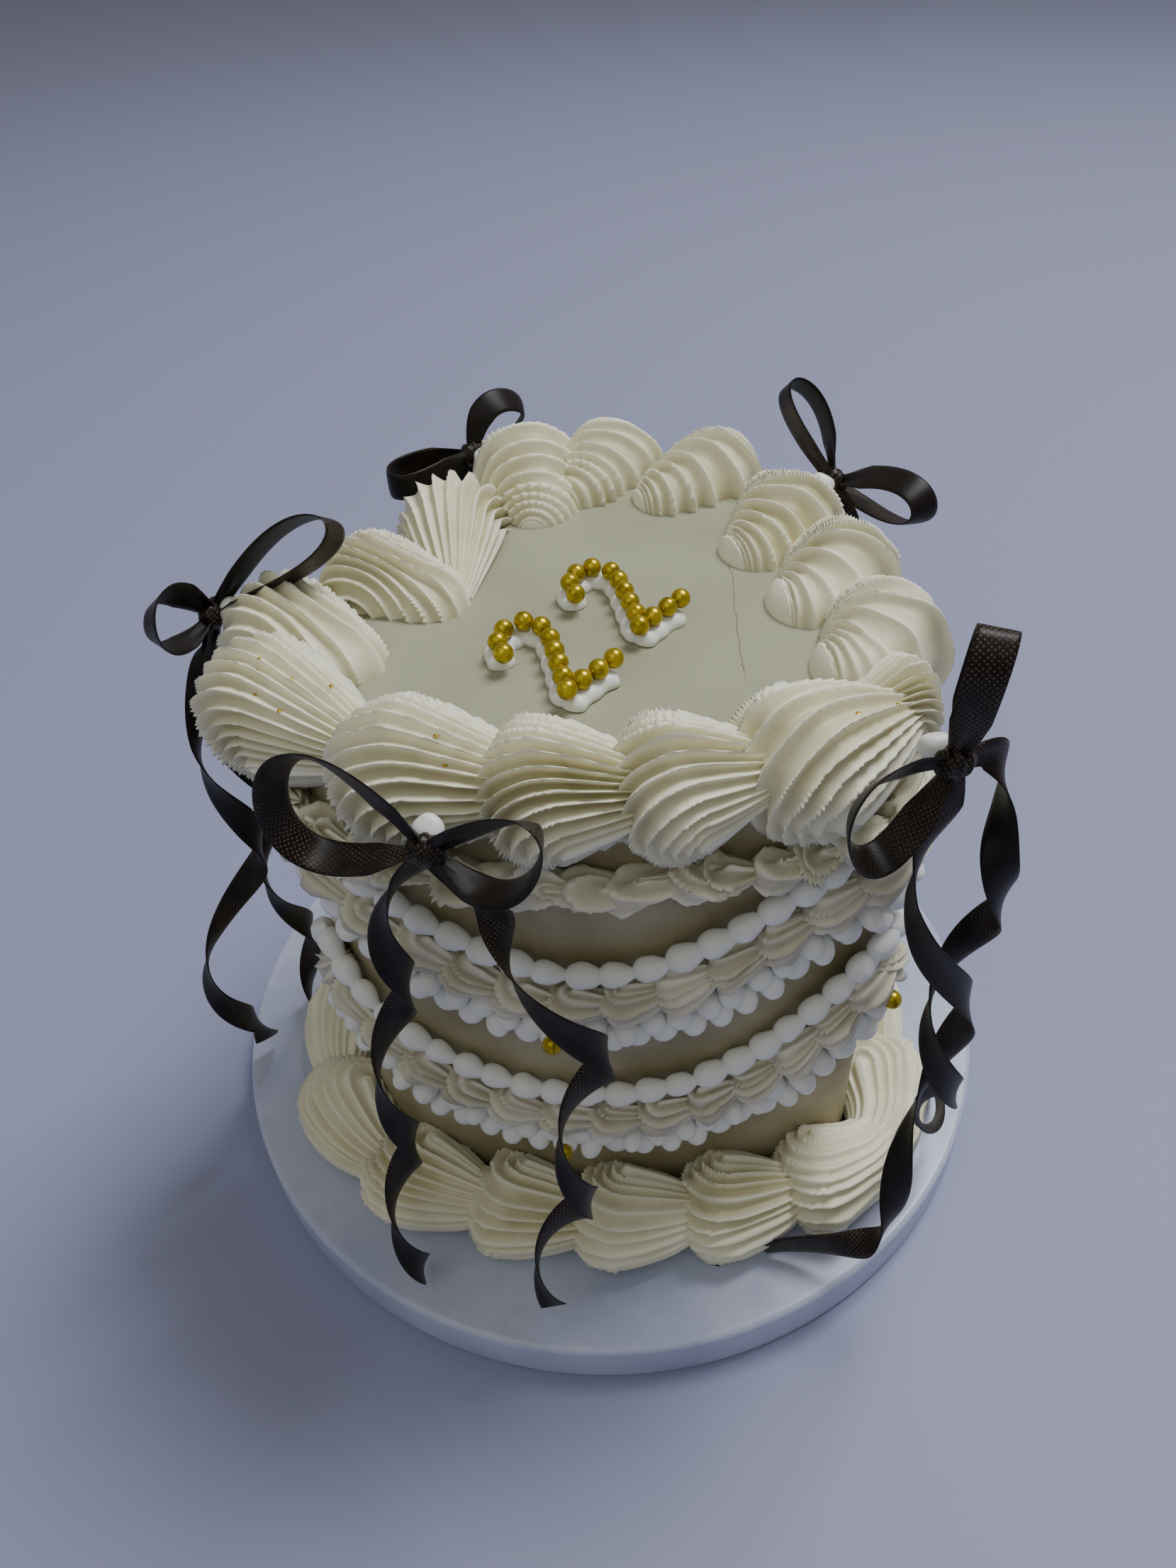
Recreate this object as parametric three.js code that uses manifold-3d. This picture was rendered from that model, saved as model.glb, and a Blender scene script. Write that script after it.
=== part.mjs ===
// A heart-shaped birthday cake on its round cake board, piped all over and tied with five ribbon bows.
// Millimetres, +Z up. The origin is the middle of the underside of the board, which rests on the table.
import * as THREE from "three";
import { LoftGeometry } from "three/addons/geometries/LoftGeometry.js";
import { mergeVertices } from "three/addons/utils/BufferGeometryUtils.js";
import Module from "manifold-3d";

const wasm = await Module();
wasm.setup();

// Driving dimensions, in millimetres and degrees. Distances along the wall are measured from the point of
// the heart, positive along the front; "out" is square to the wall, and "height" is above the table.
const gap = 0.3; // between pieces that touch
const board = { radius: 101.6, thickness: 12.7, edge: 1.5, sides: 36 };
const heart = {
  centreX: 4,
  centreY: -12,
  axisAngle: -37.8, // from +X to the point of the heart
  lobeRadius: 35.3,
  lobeSpread: 26.5, // from the axis to the middle of each lobe
  lobeSetback: 18.7,
  sideRadius: 118, // the sides bulge gently
  tipReach: 67.2,
  tipRounding: 9,
  cleftRounding: 10,
  corners: 54,
};
const cake = { height: 134.9, edge: 2.5 };
const floorOfCake = board.thickness + gap;
const cakeTop = floorOfCake + cake.height;

// A piped shell is a ribbed dome that runs from a fat head to a narrow tail. Part of each turn round it lies
// under the shell, and there it runs straight to its heel, given from its middle for a ring of some size.
const ribs = { count: 7, depth: 0.15 };
const plainSides = 9;
const fattestShare = 0.34; // of a shell's length, from its head
const rimShell = {
  radius: 13.5,
  height: cakeTop - 1.5,
  tailShare: 0.3,
  stations: [0.02, 0.14, 0.34, 0.62, 1],
  hidden: [0.62, 0.88],
  heel: (size) => [0, -1.1 * size],
};
const baseShell = {
  radius: 13.5,
  out: 9.5,
  height: board.thickness + 8.5,
  tailShare: 0.5,
  stations: [0.03, 0.18, 0.5, 1],
  hidden: [0.42, 0.84],
  heel: () => [-10, -9],
};

// The fattest part of each rim shell, and how far its tail turns in from the way along the wall to the
// point. Both runs lead from the cleft to the point; distances on the back are negative.
const rimShells = {
  front: [
    { along: 177, out: -2, turn: 113, length: 32, tailShare: 0.5 },
    { along: 153, out: 1, turn: 65, length: 37, tailShare: 0.5 },
    { along: 130, out: 1, turn: 33, length: 42, radius: 14.5 },
    { along: 94, out: -1, turn: 6, length: 41, radius: 14.5 },
    { along: 69, out: 0, turn: 5, length: 33 },
    { along: 47, out: -1, turn: 6, length: 32 },
    { along: 22, out: -2, turn: 14, length: 42, radius: 15, tailShare: 0.16 },
  ],
  back: [
    { along: -150, out: 3, turn: 110, length: 36, radius: 14.5, tailShare: 0.5 },
    { along: -130, out: 1, turn: 112, length: 30, tailShare: 0.5 },
    { along: -105, out: 3, turn: 94, length: 31, tailShare: 0.5 },
    { along: -78, out: 1, turn: 60, length: 31, tailShare: 0.5 },
    { along: -53, out: -1, turn: 52, length: 30, tailShare: 0.5 },
    { along: -28, out: -1, turn: 42, length: 28, tailShare: 0.5 },
    { along: -9, out: -2, turn: 60, length: 18, radius: 10 },
  ],
  cleft: [{ along: -179, out: 1, turn: 161, length: 50, radius: 14, tailShare: 0.16 }],
};
const baseShells = { perSide: 8, first: 184, pitch: 22.9, length: 30 };

// Two swags hang round the wall. Each has a row of beads, a row of small shells and a row of drops.
const swagPeaks = [0, 125]; // distances from the point, mirrored, and once more at the cleft
const upperSwag = { low: 102, peaks: [125, 124, 124], smooth: true };
const lowerSwag = { low: 62, peaks: [97, 90, 94], smooth: false };
const rowBack = 0.9; // the rows stand this far off the wall
const beadRow = { pitch: 6.5, top: 3.1, bottom: -3.1, depth: 5.6, waist: 0.6 };
const smallShellRow = { pitch: 10.8, top: -3.6, bottom: -14.4, depth: 6.4, waist: 0.72 };
const dropRow = { pitch: 8.6, top: -14.9, bottom: -23.2, depth: 4.6, waist: 0.55 };
const ruffle = { pitch: 10.5, top: 132, bottom: 123, depth: 8, waist: 0.7 };
const sidePearl = { radius: 2.1, out: 5.4, drop: 18.5 };

// Two digits of pearls on piped lines lie on top, in the heart's own directions: down is to its point
const digit = { height: 22.5, width: 14, pearl: 4, pearls: 13, line: 5.4, lineHeight: 2.4 };
const digitCorners = [
  [11.4, -28.6],
  [10.9, -4.1],
]; // of each digit's lower left corner: down the axis, and across it

// Satin ribbon, and the five bows that it makes. A knot is given along the wall, out of it and above the
// table; all else is given from the knot, along the wall, out and up. A loop reaches to its tip and opens by
// its belly to both sides; its width points out of the wall, tipped by an angle at either end. A tail curls
// round its axis.
const ribbon = { width: 6.4, thickness: 0.7, loopSteps: 9, tailSteps: 15 };
const knotPad = { width: 7, depth: 5, height: 6 };
const pinch = { width: 0.45, reach: 9 }; // the ribbon is gathered to this share where it leaves the knot
const curlGrowth = 30; // a tail's curl is full this far from the knot
const nudge = 0.01; // the share of a strip that its direction is taken over
const bowDot = { radius: 3.5, place: [1, -4, 2.4] };
const bows = {
  point: {
    knot: [6.3, 16.5, 155],
    loops: [
      { tip: [-3, 0, 24], belly: [2.8, 3, 0], tips: [10, -10] },
      { tip: [21, 3, -7], belly: [2.5, 0, 8.2], tips: [70, 0] },
    ],
    tails: [
      {
        axis: [
          [0, 0, 0], [1, 1, -20], [-1, 3, -40], [-8, 5, -62],
          [-9, 7, -88], [0, 9, -112], [11, 12, -128], [27, 4, -138],
        ],
        curl: { start: 190, turns: 2.2, radius: 3.4 },
      },
      {
        axis: [
          [0, 0, 0], [-9, 1, -2], [-13, 3, -12], [-9, 4, -26], [-9, 4, -42],
          [-7, 6, -66], [-9, 6, -90], [-20, -2, -118], [-32, -20, -138],
        ],
        curl: { start: 221, turns: 2.9, radius: 4 },
      },
    ],
  },
  front: {
    knot: [83, 16.5, 146.6],
    loops: [
      { tip: [24, 2, 10.5], belly: [-3, 1, 11.5], tips: [75, 0] },
      { tip: [-21, 5, 6], belly: [-2.5, 0, 8.5], tips: [-50, 0] },
    ],
    tails: [
      {
        axis: [
          [0, 0, 0], [9, 0, -18], [11.5, 2, -38], [14, 4, -62],
          [16, 7, -88], [17, 10, -116], [19, 12, -131],
        ],
        curl: { start: 262, turns: 2.86, radius: 3.2 },
      },
      {
        axis: [
          [0, 0, 0], [-13, 1, -20], [-22, 2, -36], [-26, 4, -50],
          [-24, 6, -68], [-21, 9, -92], [-18, 11, -108], [-17, 12, -121],
        ],
        curl: { start: 135, turns: 2.9, radius: 4 },
      },
    ],
  },
  left: {
    knot: [152, 16.5, 151],
    loops: [
      { tip: [-17, 2, 8], belly: [2, 0, 5], tips: [60, 0] },
      { tip: [8.5, -26, 19], belly: [2, 5, 1.5], tips: [0, 0] },
    ],
    tails: [
      {
        axis: [
          [0, 0, 0], [-9, 1, -10], [-11, 2, -28], [-10, 2, -48],
          [-12, 4, -66], [-22, 12, -89], [-21, 14, -112], [-14, 13, -133],
        ],
        curl: { start: -77, turns: 2.36, radius: 3.4 },
      },
      {
        axis: [
          [0, 0, 0], [-4, 1, -12], [-5, 2, -30], [-4, 1, -50],
          [-2, 3, -75], [4, 6, -100], [8, 9, -136],
        ],
        curl: { start: 40, turns: 2.2, radius: 3 },
      },
    ],
  },
  back: {
    knot: [-156, 16.5, 151],
    loops: [
      { tip: [-24, 1, 0], belly: [2, 5, 0], tips: [0, 0] },
      { tip: [14, 0, 9.5], belly: [-5, 0, 3], tips: [60, 20] },
    ],
    tails: [
      {
        axis: [
          [0, 0, 0], [-8, 1, -20], [-11, 2, -42], [-10, 4, -66],
          [-13, 7, -92], [-12, 10, -118], [-15, 13, -136],
        ],
        curl: { start: 60, turns: 2.4, radius: 3.6 },
      },
      {
        axis: [
          [0, 0, 0], [8, 1, -18], [10, 2, -40], [12, 4, -64],
          [10, 6, -90], [13, 10, -116], [12, 13, -136],
        ],
        curl: { start: -60, turns: 2.2, radius: 3.6 },
      },
    ],
  },
  right: {
    knot: [-81, 16.5, 152],
    loops: [
      { tip: [-16, 0, 18], belly: [1.5, 4, -1], tips: [0, 0] },
      { tip: [26, 3, 3], belly: [-1, 0, 4.5], tips: [40, 0] },
    ],
    tails: [
      {
        axis: [
          [0, 0, 0], [7, 1, -14], [10, 2, -36], [9, 4, -60],
          [12, 6, -86], [11, 10, -114], [14, 13, -137],
        ],
        curl: { start: 80, turns: 2.4, radius: 3.6 },
      },
      {
        axis: [
          [0, 0, 0], [-7, 1, -20], [-10, 2, -42], [-9, 4, -66],
          [-12, 7, -92], [-11, 10, -118], [-14, 13, -137],
        ],
        curl: { start: -40, turns: 2.3, radius: 3.6 },
      },
    ],
  },
};

const materials = {
  board: { color: 0xdfe0e6, roughness: 0.45, metalness: 0 },
  cakeIcing: { color: 0xd8d3c2, roughness: 0.6, metalness: 0 },
  shellIcing: { color: 0xe9e4d2, roughness: 0.55, metalness: 0 },
  whiteIcing: { color: 0xeef0ee, roughness: 0.5, metalness: 0 },
  creamIcing: { color: 0xd9cfba, roughness: 0.55, metalness: 0 },
  pearl: { color: 0xc9a227, roughness: 0.28, metalness: 0.8 },
  ribbon: { color: 0x17110f, roughness: 0.35, metalness: 0 },
};

const cakeModel = new THREE.Group();
const up = new THREE.Vector3(0, 0, 1);
const axis = THREE.MathUtils.degToRad(heart.axisAngle);
const heartOrigin = new THREE.Vector2();

// From the heart's own directions, down its axis and across it, to the board's
function fromHeart(down, across, height) {
  const point = new THREE.Vector2(down, across).rotateAround(heartOrigin, axis);
  return new THREE.Vector3(point.x + heart.centreX, point.y + heart.centreY, height);
}

// Where two circles meet, on the left of the line from the first to the second
function circlesMeet(a, radiusA, b, radiusB) {
  const line = b.clone().sub(a);
  const distance = line.length();
  const share = (radiusA ** 2 - radiusB ** 2 + distance ** 2) / (2 * distance);
  const rise = Math.sqrt(radiusA ** 2 - share ** 2);
  line.normalize();
  return new THREE.Vector2(a.x + line.x * share - line.y * rise, a.y + line.y * share + line.x * rise);
}

// The heart is a closed run of arcs, clockwise from its point: half the tip, side, lobe, the rounded cleft,
// then lobe, side and tip again. A side arc touches its lobe and would pass through the sharp point.
function heartPath() {
  const { lobeRadius, lobeSpread, lobeSetback, sideRadius, tipReach, tipRounding, cleftRounding } = heart;
  const lobe = new THREE.Vector2(-lobeSetback, -lobeSpread);
  const side = circlesMeet(lobe, sideRadius - lobeRadius, new THREE.Vector2(tipReach, 0), sideRadius);
  const tip = new THREE.Vector2(side.x + Math.sqrt((sideRadius - tipRounding) ** 2 - side.y ** 2), 0);
  const reach = Math.sqrt((lobeRadius + cleftRounding) ** 2 - lobeSpread ** 2);
  const cleft = new THREE.Vector2(-lobeSetback - reach, 0);
  const bearing = (from, to) => Math.atan2(to.y - from.y, to.x - from.x);
  const tipEnd = bearing(side, tip);
  const sideEnd = bearing(side, lobe);
  const lobeEnd = bearing(lobe, cleft);
  const cleftStart = bearing(cleft, lobe);
  const path = new THREE.CurvePath();
  const arc = (x, y, radius, from, to, clockwise) =>
    path.add(new THREE.EllipseCurve(x, y, radius, radius, from, to, clockwise));
  arc(tip.x, 0, tipRounding, 0, tipEnd, true);
  arc(side.x, side.y, sideRadius, tipEnd, sideEnd, true);
  arc(lobe.x, lobe.y, lobeRadius, sideEnd, lobeEnd, true);
  arc(cleft.x, 0, cleftRounding, cleftStart, -cleftStart, false);
  arc(lobe.x, -lobe.y, lobeRadius, -lobeEnd, -sideEnd, true);
  arc(side.x, -side.y, sideRadius, -sideEnd, -tipEnd, true);
  arc(tip.x, 0, tipRounding, -tipEnd, 0, true);
  return path;
}

const wall = heartPath();
const wallLength = wall.getLength();

// A point at a distance along the wall, moved out from it and up
function onWall(along, out, height) {
  const share = THREE.MathUtils.euclideanModulo(along / wallLength, 1);
  const point = wall.getPoint(share);
  const travel = wall.getTangent(share);
  return fromHeart(point.x - travel.y * out, point.y + travel.x * out, height);
}

function outwards(along) {
  return onWall(along, 1, 0).sub(onWall(along, 0, 0));
}

// A closed three.js geometry as a solid, turned so that its faces point out
function solidOf(geometry) {
  const bare = new THREE.BufferGeometry().setAttribute("position", geometry.getAttribute("position"));
  const merged = mergeVertices(bare.setIndex(geometry.index), 1e-3);
  const vertProperties = merged.attributes.position.array;
  const make = (triVerts) => new wasm.Manifold(new wasm.Mesh({ numProp: 3, vertProperties, triVerts }));
  const triVerts = new Uint32Array(merged.index.array);
  const solid = make(triVerts);
  return solid.volume() > 0 ? solid : make(triVerts.reverse());
}

function middleOf(ring) {
  return ring.reduce((sum, point) => sum.add(point), new THREE.Vector3()).divideScalar(ring.length);
}

// Whether a ring of points turns anticlockwise as seen from the next ring
function turnsTo(ring, next) {
  const middle = middleOf(ring);
  const spin = new THREE.Vector3();
  ring.forEach((point, i) => {
    const follower = ring[(i + 1) % ring.length];
    spin.add(point.clone().sub(middle).cross(follower.clone().sub(middle)));
  });
  return spin.dot(middleOf(next).sub(middle)) > 0;
}

// A solid through rings of points, closed by flat ends or by its first ring again
function loft(sections, looped = false) {
  const turned = turnsTo(sections[0], sections[1]) ? sections : sections.map((ring) => ring.toReversed());
  const rings = looped ? [...turned, turned[0]] : turned;
  return solidOf(new LoftGeometry(rings, { capStart: !looped, capEnd: !looped }));
}

function addPiece(name, solid, material) {
  const { vertProperties, triVerts } = solid.getMesh();
  const geometry = new THREE.BufferGeometry();
  geometry.setAttribute("position", new THREE.BufferAttribute(vertProperties, 3));
  geometry.setIndex(new THREE.BufferAttribute(triVerts, 1));
  const mesh = new THREE.Mesh(geometry, new THREE.MeshStandardMaterial(material));
  mesh.name = name;
  cakeModel.add(mesh);
}

// What has been placed so far, each a gap larger all round, in the order that pieces cover each other
const placed = [];

function meet(a, b) {
  const boxA = a.boundingBox();
  const boxB = b.boundingBox();
  return [0, 1, 2].every((i) => boxA.min[i] < boxB.max[i] && boxB.min[i] < boxA.max[i]);
}

// Adds a piece made by make(swell), cut clear of all that is placed, and keeps its largest body
function settle(name, make, material) {
  const whole = make(0);
  const inTheWay = placed.filter((other) => meet(whole, other));
  const cut = inTheWay.reduce((rest, other) => rest.subtract(other), whole);
  const bodies = cut.decompose().sort((a, b) => b.volume() - a.volume());
  addPiece(name, bodies[0], material);
  placed.push(make(gap));
}

// The board is a drum with slightly rounded rims
function boardSolid(swell) {
  const { radius, thickness, edge, sides } = board;
  const reach = radius + swell;
  const top = thickness + swell;
  const profile = [
    [0, 0],
    [reach - edge, 0],
    [reach, edge],
    [reach, top - edge],
    [reach - edge, top],
    [0, top],
  ].map(([x, y]) => new THREE.Vector2(x, y));
  return solidOf(new THREE.LatheGeometry(profile, sides).rotateX(Math.PI / 2));
}

// The cake is the heart carried up, with its top edge rounded over
function cakeSolid(swell) {
  const alongs = Array.from({ length: heart.corners }, (_, i) => (i / heart.corners) * wallLength);
  const ring = (out, height) => alongs.map((along) => onWall(along, out + swell, height));
  const top = cakeTop + swell;
  return loft([
    ring(0, floorOfCake),
    ring(0, top - cake.edge),
    ring(-0.3 * cake.edge, top - 0.3 * cake.edge),
    ring(-cake.edge, top),
  ]);
}

// The shell's radius along its length: a quarter circle up to the fattest part, then a slow taper
function shellRadius(share, tailShare) {
  if (share < fattestShare) return Math.sqrt(1 - (1 - share / fattestShare) ** 2);
  const taper = (share - fattestShare) / (1 - fattestShare);
  return 1 - (1 - tailShare) * taper ** 1.4;
}

// A piped shell: centreAt(share) gives the middle of each ring and the way its side points. Swollen, to cut
// its neighbours, it has no ribs and fewer sides.
function shellSolid(shape, centreAt, swell) {
  const sides = swell ? plainSides : 2 * ribs.count;
  const reachOf = (size, k) =>
    swell ? (size + swell) / Math.cos(Math.PI / sides) : size * (k % 2 ? 1 - ribs.depth : 1);
  const turns = Array.from({ length: sides }, (_, k) => k);
  const overlap = swell ? 1 / sides : 0;
  const before = turns.filter((k) => k / sides < shape.hidden[0] + overlap);
  const after = turns.filter((k) => k / sides > shape.hidden[1] - overlap && !before.includes(k));
  const last = shape.stations.length - 1;
  return loft(
    shape.stations.map((share, i) => {
      const overrun = { 0: -swell, [last]: swell }[i] ?? 0;
      const { middle, side } = centreAt(share + overrun / (2 * shape.radius));
      const size = shape.radius * shellRadius(share, shape.tailShare);
      const at = (x, y) => middle.clone().addScaledVector(side, x).addScaledVector(up, y);
      const onRing = (k) => {
        const angle = (2 * Math.PI * k) / sides;
        return at(reachOf(size, k) * Math.cos(angle), reachOf(size, k) * Math.sin(angle));
      };
      const [heelX, heelY] = shape.heel(size).map((value) => value - swell);
      return [...before.map(onRing), at(heelX, heelY), ...after.map(onRing)];
    }),
  );
}

// A shell round the foot bends with the wall, its tail towards the point of the heart
function baseShellSolid(head, swell) {
  const centreAt = (share) => {
    const along = head - Math.sign(head) * share * baseShells.length;
    return { middle: onWall(along, baseShell.out, baseShell.height), side: outwards(along) };
  };
  return shellSolid(baseShell, centreAt, swell);
}

// A shell on the rim has a straight axis
function rimShellSolid({ along, out, turn, length, ...own }, swell) {
  const angle = THREE.MathUtils.degToRad(turn);
  const toPoint = outwards(along).cross(up).multiplyScalar(-Math.sign(along));
  const travel = toPoint.multiplyScalar(Math.cos(angle)).addScaledVector(outwards(along), -Math.sin(angle));
  const fattest = onWall(along, out, rimShell.height);
  const side = travel.clone().cross(up);
  const placeAt = (share) => fattest.clone().addScaledVector(travel, (share - fattestShare) * length);
  const centreAt = (share) => ({ middle: placeAt(share), side });
  return shellSolid({ ...rimShell, ...own }, centreAt, swell);
}

// The height of a swag's bead line: it hangs from peak to peak, smooth on top or pointed
function swagHeight(swag, along) {
  const half = wallLength / 2;
  const distance = Math.abs(THREE.MathUtils.euclideanModulo(along + half, wallLength) - half);
  const bounds = [...swagPeaks, half];
  const span = distance < swagPeaks[1] ? 0 : 1;
  const share = ((distance - bounds[span]) / (bounds[span + 1] - bounds[span])) * 2 - 1;
  const peak = swag.peaks[share < 0 ? span : span + 1];
  const rise = swag.smooth ? (1 - Math.cos(Math.PI * share)) / 2 : share ** 2;
  return swag.low + (peak - swag.low) * rise;
}

// Even steps along a swag's bead line, two for each piped blob: its waist and its belly
function swagSteps(swag, pitch) {
  const samples = 400;
  const line = Array.from({ length: samples + 1 }, (_, i) => {
    const along = (i / samples) * wallLength;
    return new THREE.Vector2(along, swagHeight(swag, along));
  });
  const path = new THREE.Path(line);
  const blobs = Math.round(path.getLength() / pitch);
  return path.getSpacedPoints(2 * blobs).slice(0, -1);
}

// A row of piped blobs round the wall: each step is a D-shaped section, smaller at a waist than at a belly
function rowSolid(row, steps, edgesAt, points) {
  return loft(
    steps.map((step, i) => {
      const size = i % 2 ? 1 : row.waist;
      const [top, bottom] = edgesAt(step, size);
      return Array.from({ length: points }, (_, k) => {
        const angle = Math.PI * (0.5 - k / (points - 1));
        const height = (top + bottom) / 2 + ((top - bottom) / 2) * Math.sin(angle);
        return onWall(step.x, rowBack + row.depth * size * Math.cos(angle), height);
      });
    }),
    true,
  );
}

// Rows hang straight below the bead line, further where it is steep so that they keep their width
function swagRow(swag, row, points, hanging) {
  const edgesAt = (step, size) => {
    const slope = swagHeight(swag, step.x + 0.5) - swagHeight(swag, step.x - 0.5);
    const stretch = Math.min(Math.hypot(1, slope), 1.35);
    const middle = (row.top + row.bottom) / 2;
    const half = (row.top - row.bottom) / 2;
    const top = hanging ? row.top : middle + half * size;
    const bottom = hanging ? row.top - 2 * half * size : middle - half * size;
    return [step.y + top * stretch, step.y + bottom * stretch];
  };
  return rowSolid(row, swagSteps(swag, row.pitch), edgesAt, points);
}

// The ruffle under the rim keeps clear of the upper beads where they climb to their peaks
function ruffleSolid() {
  const count = 2 * Math.round(wallLength / ruffle.pitch);
  const steps = Array.from({ length: count }, (_, i) => new THREE.Vector2((i / count) * wallLength, 0));
  const edgesAt = (step, size) => {
    const clear = swagHeight(upperSwag, step.x) + 1.2 * beadRow.top + gap;
    return [ruffle.top, Math.max(ruffle.top - (ruffle.top - ruffle.bottom) * size, clear)];
  };
  return rowSolid(ruffle, steps, edgesAt, 3);
}

function ball(radius, position, detail = 0) {
  const geometry = new THREE.IcosahedronGeometry(radius, detail);
  return solidOf(geometry.translate(position.x, position.y, position.z));
}

// Gold pearls sit among the drops, at the foot of each swag and under its peaks
function dropsWithPearls(swag) {
  const half = wallLength / 2;
  const feet = [swagPeaks[1] / 2 + 7, (swagPeaks[1] + half) / 2];
  const places = [...feet, ...feet.map((along) => -along), ...(swag.smooth ? [] : [1, -swagPeaks[1], half])];
  return places.reduce((row, along) => {
    const height = swagHeight(swag, along) - sidePearl.drop;
    return row.add(ball(sidePearl.radius, onWall(along, sidePearl.out, height)));
  }, swagRow(swag, dropRow, 3, true));
}

// The figure two, drawn across and down from its lower left corner: an arch with its slanting stroke
function digitArch() {
  const { width, height } = digit;
  const arch = [
    [0.2 * width, -0.78 * height],
    [0.42 * width, -0.95 * height],
    [0.72 * width, -height],
    [0.98 * width, -0.9 * height],
    [0.97 * width, -0.7 * height],
    [0.55 * width, -0.38 * height],
    [0, 0],
  ].map(([x, y]) => new THREE.Vector2(x, y));
  return new THREE.SplineCurve(arch);
}

// A rounded line of icing along a path on top of the cake
function pipedLine(points, place, foot) {
  const half = digit.line / 2;
  return loft(
    points.map((point, i) => {
      const next = points[Math.min(i + 1, points.length - 1)];
      const travel = next.clone().sub(points[Math.max(i - 1, 0)]).normalize();
      const sideways = new THREE.Vector2(-travel.y, travel.x);
      return [
        [-half, 0],
        [-0.6 * half, digit.lineHeight],
        [0.6 * half, digit.lineHeight],
        [half, 0],
      ].map(([side, rise]) => place(point.clone().addScaledVector(sideways, side), foot + rise));
    }),
  );
}

// One digit: pearls in a row, half sunk in piped lines
function digitSolid([down, across]) {
  const place = (point, height) => fromHeart(down + point.y, across + point.x, height);
  const foot = cakeTop + gap;
  const arch = digitArch();
  const strokeEnd = new THREE.Vector2(0.9 * digit.width, 0.06 * digit.height);
  const stroke = new THREE.LineCurve(new THREE.Vector2(-1, 0), strokeEnd);
  const paths = [arch.getSpacedPoints(8), stroke.getSpacedPoints(1)];
  const lines = paths.map((points) => pipedLine(points, place, foot));
  const onArch = arch.getSpacedPoints(digit.pearls - 4);
  const onFoot = stroke.getSpacedPoints(4).slice(2);
  const centre = foot + digit.lineHeight + 0.35 * digit.pearl;
  return [...onArch, ...onFoot].reduce(
    (solid, point) => solid.add(ball(digit.pearl / 2 + 0.12, place(point, centre))),
    lines[0].add(lines[1]),
  );
}

// A place given from a bow's knot, along the wall, out and up
function fromKnot([along, out, height], [x, y, z]) {
  return onWall(along, out + y, height + z).addScaledVector(outwards(along).cross(up), x);
}

// The same for a direction
function knotDirection(knot, parts) {
  return fromKnot(knot, parts).sub(fromKnot(knot, [0, 0, 0]));
}

// A strap through rings of four corners. Its two broad faces are split along the same diagonal, so that
// they keep apart where the strap is wrung.
function strapSolid(rings) {
  const faces = rings.slice(1).flatMap((_, i) => {
    const [a, b, c, d] = [0, 1, 2, 3].map((corner) => 4 * i + corner);
    const [e, f, g, h] = [4, 5, 6, 7].map((corner) => 4 * i + corner);
    return [a, b, f, a, f, e, b, c, g, b, g, f, c, d, h, c, h, g, d, a, h, a, e, h];
  });
  const end = 4 * (rings.length - 1);
  const caps = [0, 3, 2, 0, 2, 1, end, end + 1, end + 2, end, end + 2, end + 3];
  const corners = rings.flat().flatMap((corner) => corner.toArray());
  const geometry = new THREE.BufferGeometry().setIndex([...faces, ...caps]);
  return solidOf(geometry.setAttribute("position", new THREE.Float32BufferAttribute(corners, 3)));
}

// A flat strip through its middle places, whose width points as given at each of them
function stripSolid(middles, widths, pinchedEnds, swell) {
  const steps = middles.length - 1;
  const length = middles.slice(1).reduce((sum, place, i) => sum + place.distanceTo(middles[i]), 0);
  return strapSolid(
    middles.map((middle, i) => {
      const travel = middles[Math.min(i + 1, steps)].clone().sub(middles[Math.max(i - 1, 0)]).normalize();
      const overrun = { 0: -swell, [steps]: swell }[i] ?? 0;
      const centre = middle.clone().addScaledVector(travel, overrun);
      const reach = (length * (pinchedEnds > 1 ? Math.min(i, steps - i) : i)) / steps;
      const width = ribbon.width * Math.min(1, pinch.width + (1 - pinch.width) * (reach / pinch.reach));
      const across = widths[i].clone().addScaledVector(travel, -widths[i].dot(travel));
      across.setLength(width / 2 + swell);
      const face = travel.clone().cross(across).setLength(ribbon.thickness / 2 + swell);
      return [
        [1, 1],
        [1, -1],
        [-1, -1],
        [-1, 1],
      ].map(([a, b]) => centre.clone().addScaledVector(across, a).addScaledVector(face, b));
    }),
  );
}

// A loop leaves the knot and comes back to it: tip times sin(pi s) plus belly times sin(2 pi s)
function loopSolid(knot, { tip, belly, tips }, swell) {
  const [tipWay, bellyWay, outWay] = [tip, belly, [0.1, 1, 0]].map((parts) => knotDirection(knot, parts));
  const level = tipWay.clone().cross(bellyWay).normalize();
  if (level.dot(outWay) < 0) level.negate();
  const inKnot = 0.015; // the share of the loop inside the knot at either end
  const steps = Array.from({ length: ribbon.loopSteps + 1 }, (_, i) => i / ribbon.loopSteps);
  const shares = steps.map((step) => THREE.MathUtils.lerp(inKnot, 1 - inKnot, step));
  const placeAt = (share) =>
    fromKnot(knot, [0, 0, 0])
      .addScaledVector(tipWay, Math.sin(Math.PI * share))
      .addScaledVector(bellyWay, Math.sin(2 * Math.PI * share));
  const widthAt = (share) => {
    const travel = placeAt(share + nudge).sub(placeAt(share - nudge)).normalize();
    const angle = THREE.MathUtils.lerp(...tips, share);
    return level.clone().applyAxisAngle(travel, THREE.MathUtils.degToRad(angle));
  };
  return stripSolid(shares.map(placeAt), shares.map(widthAt), 2, swell);
}

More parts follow.
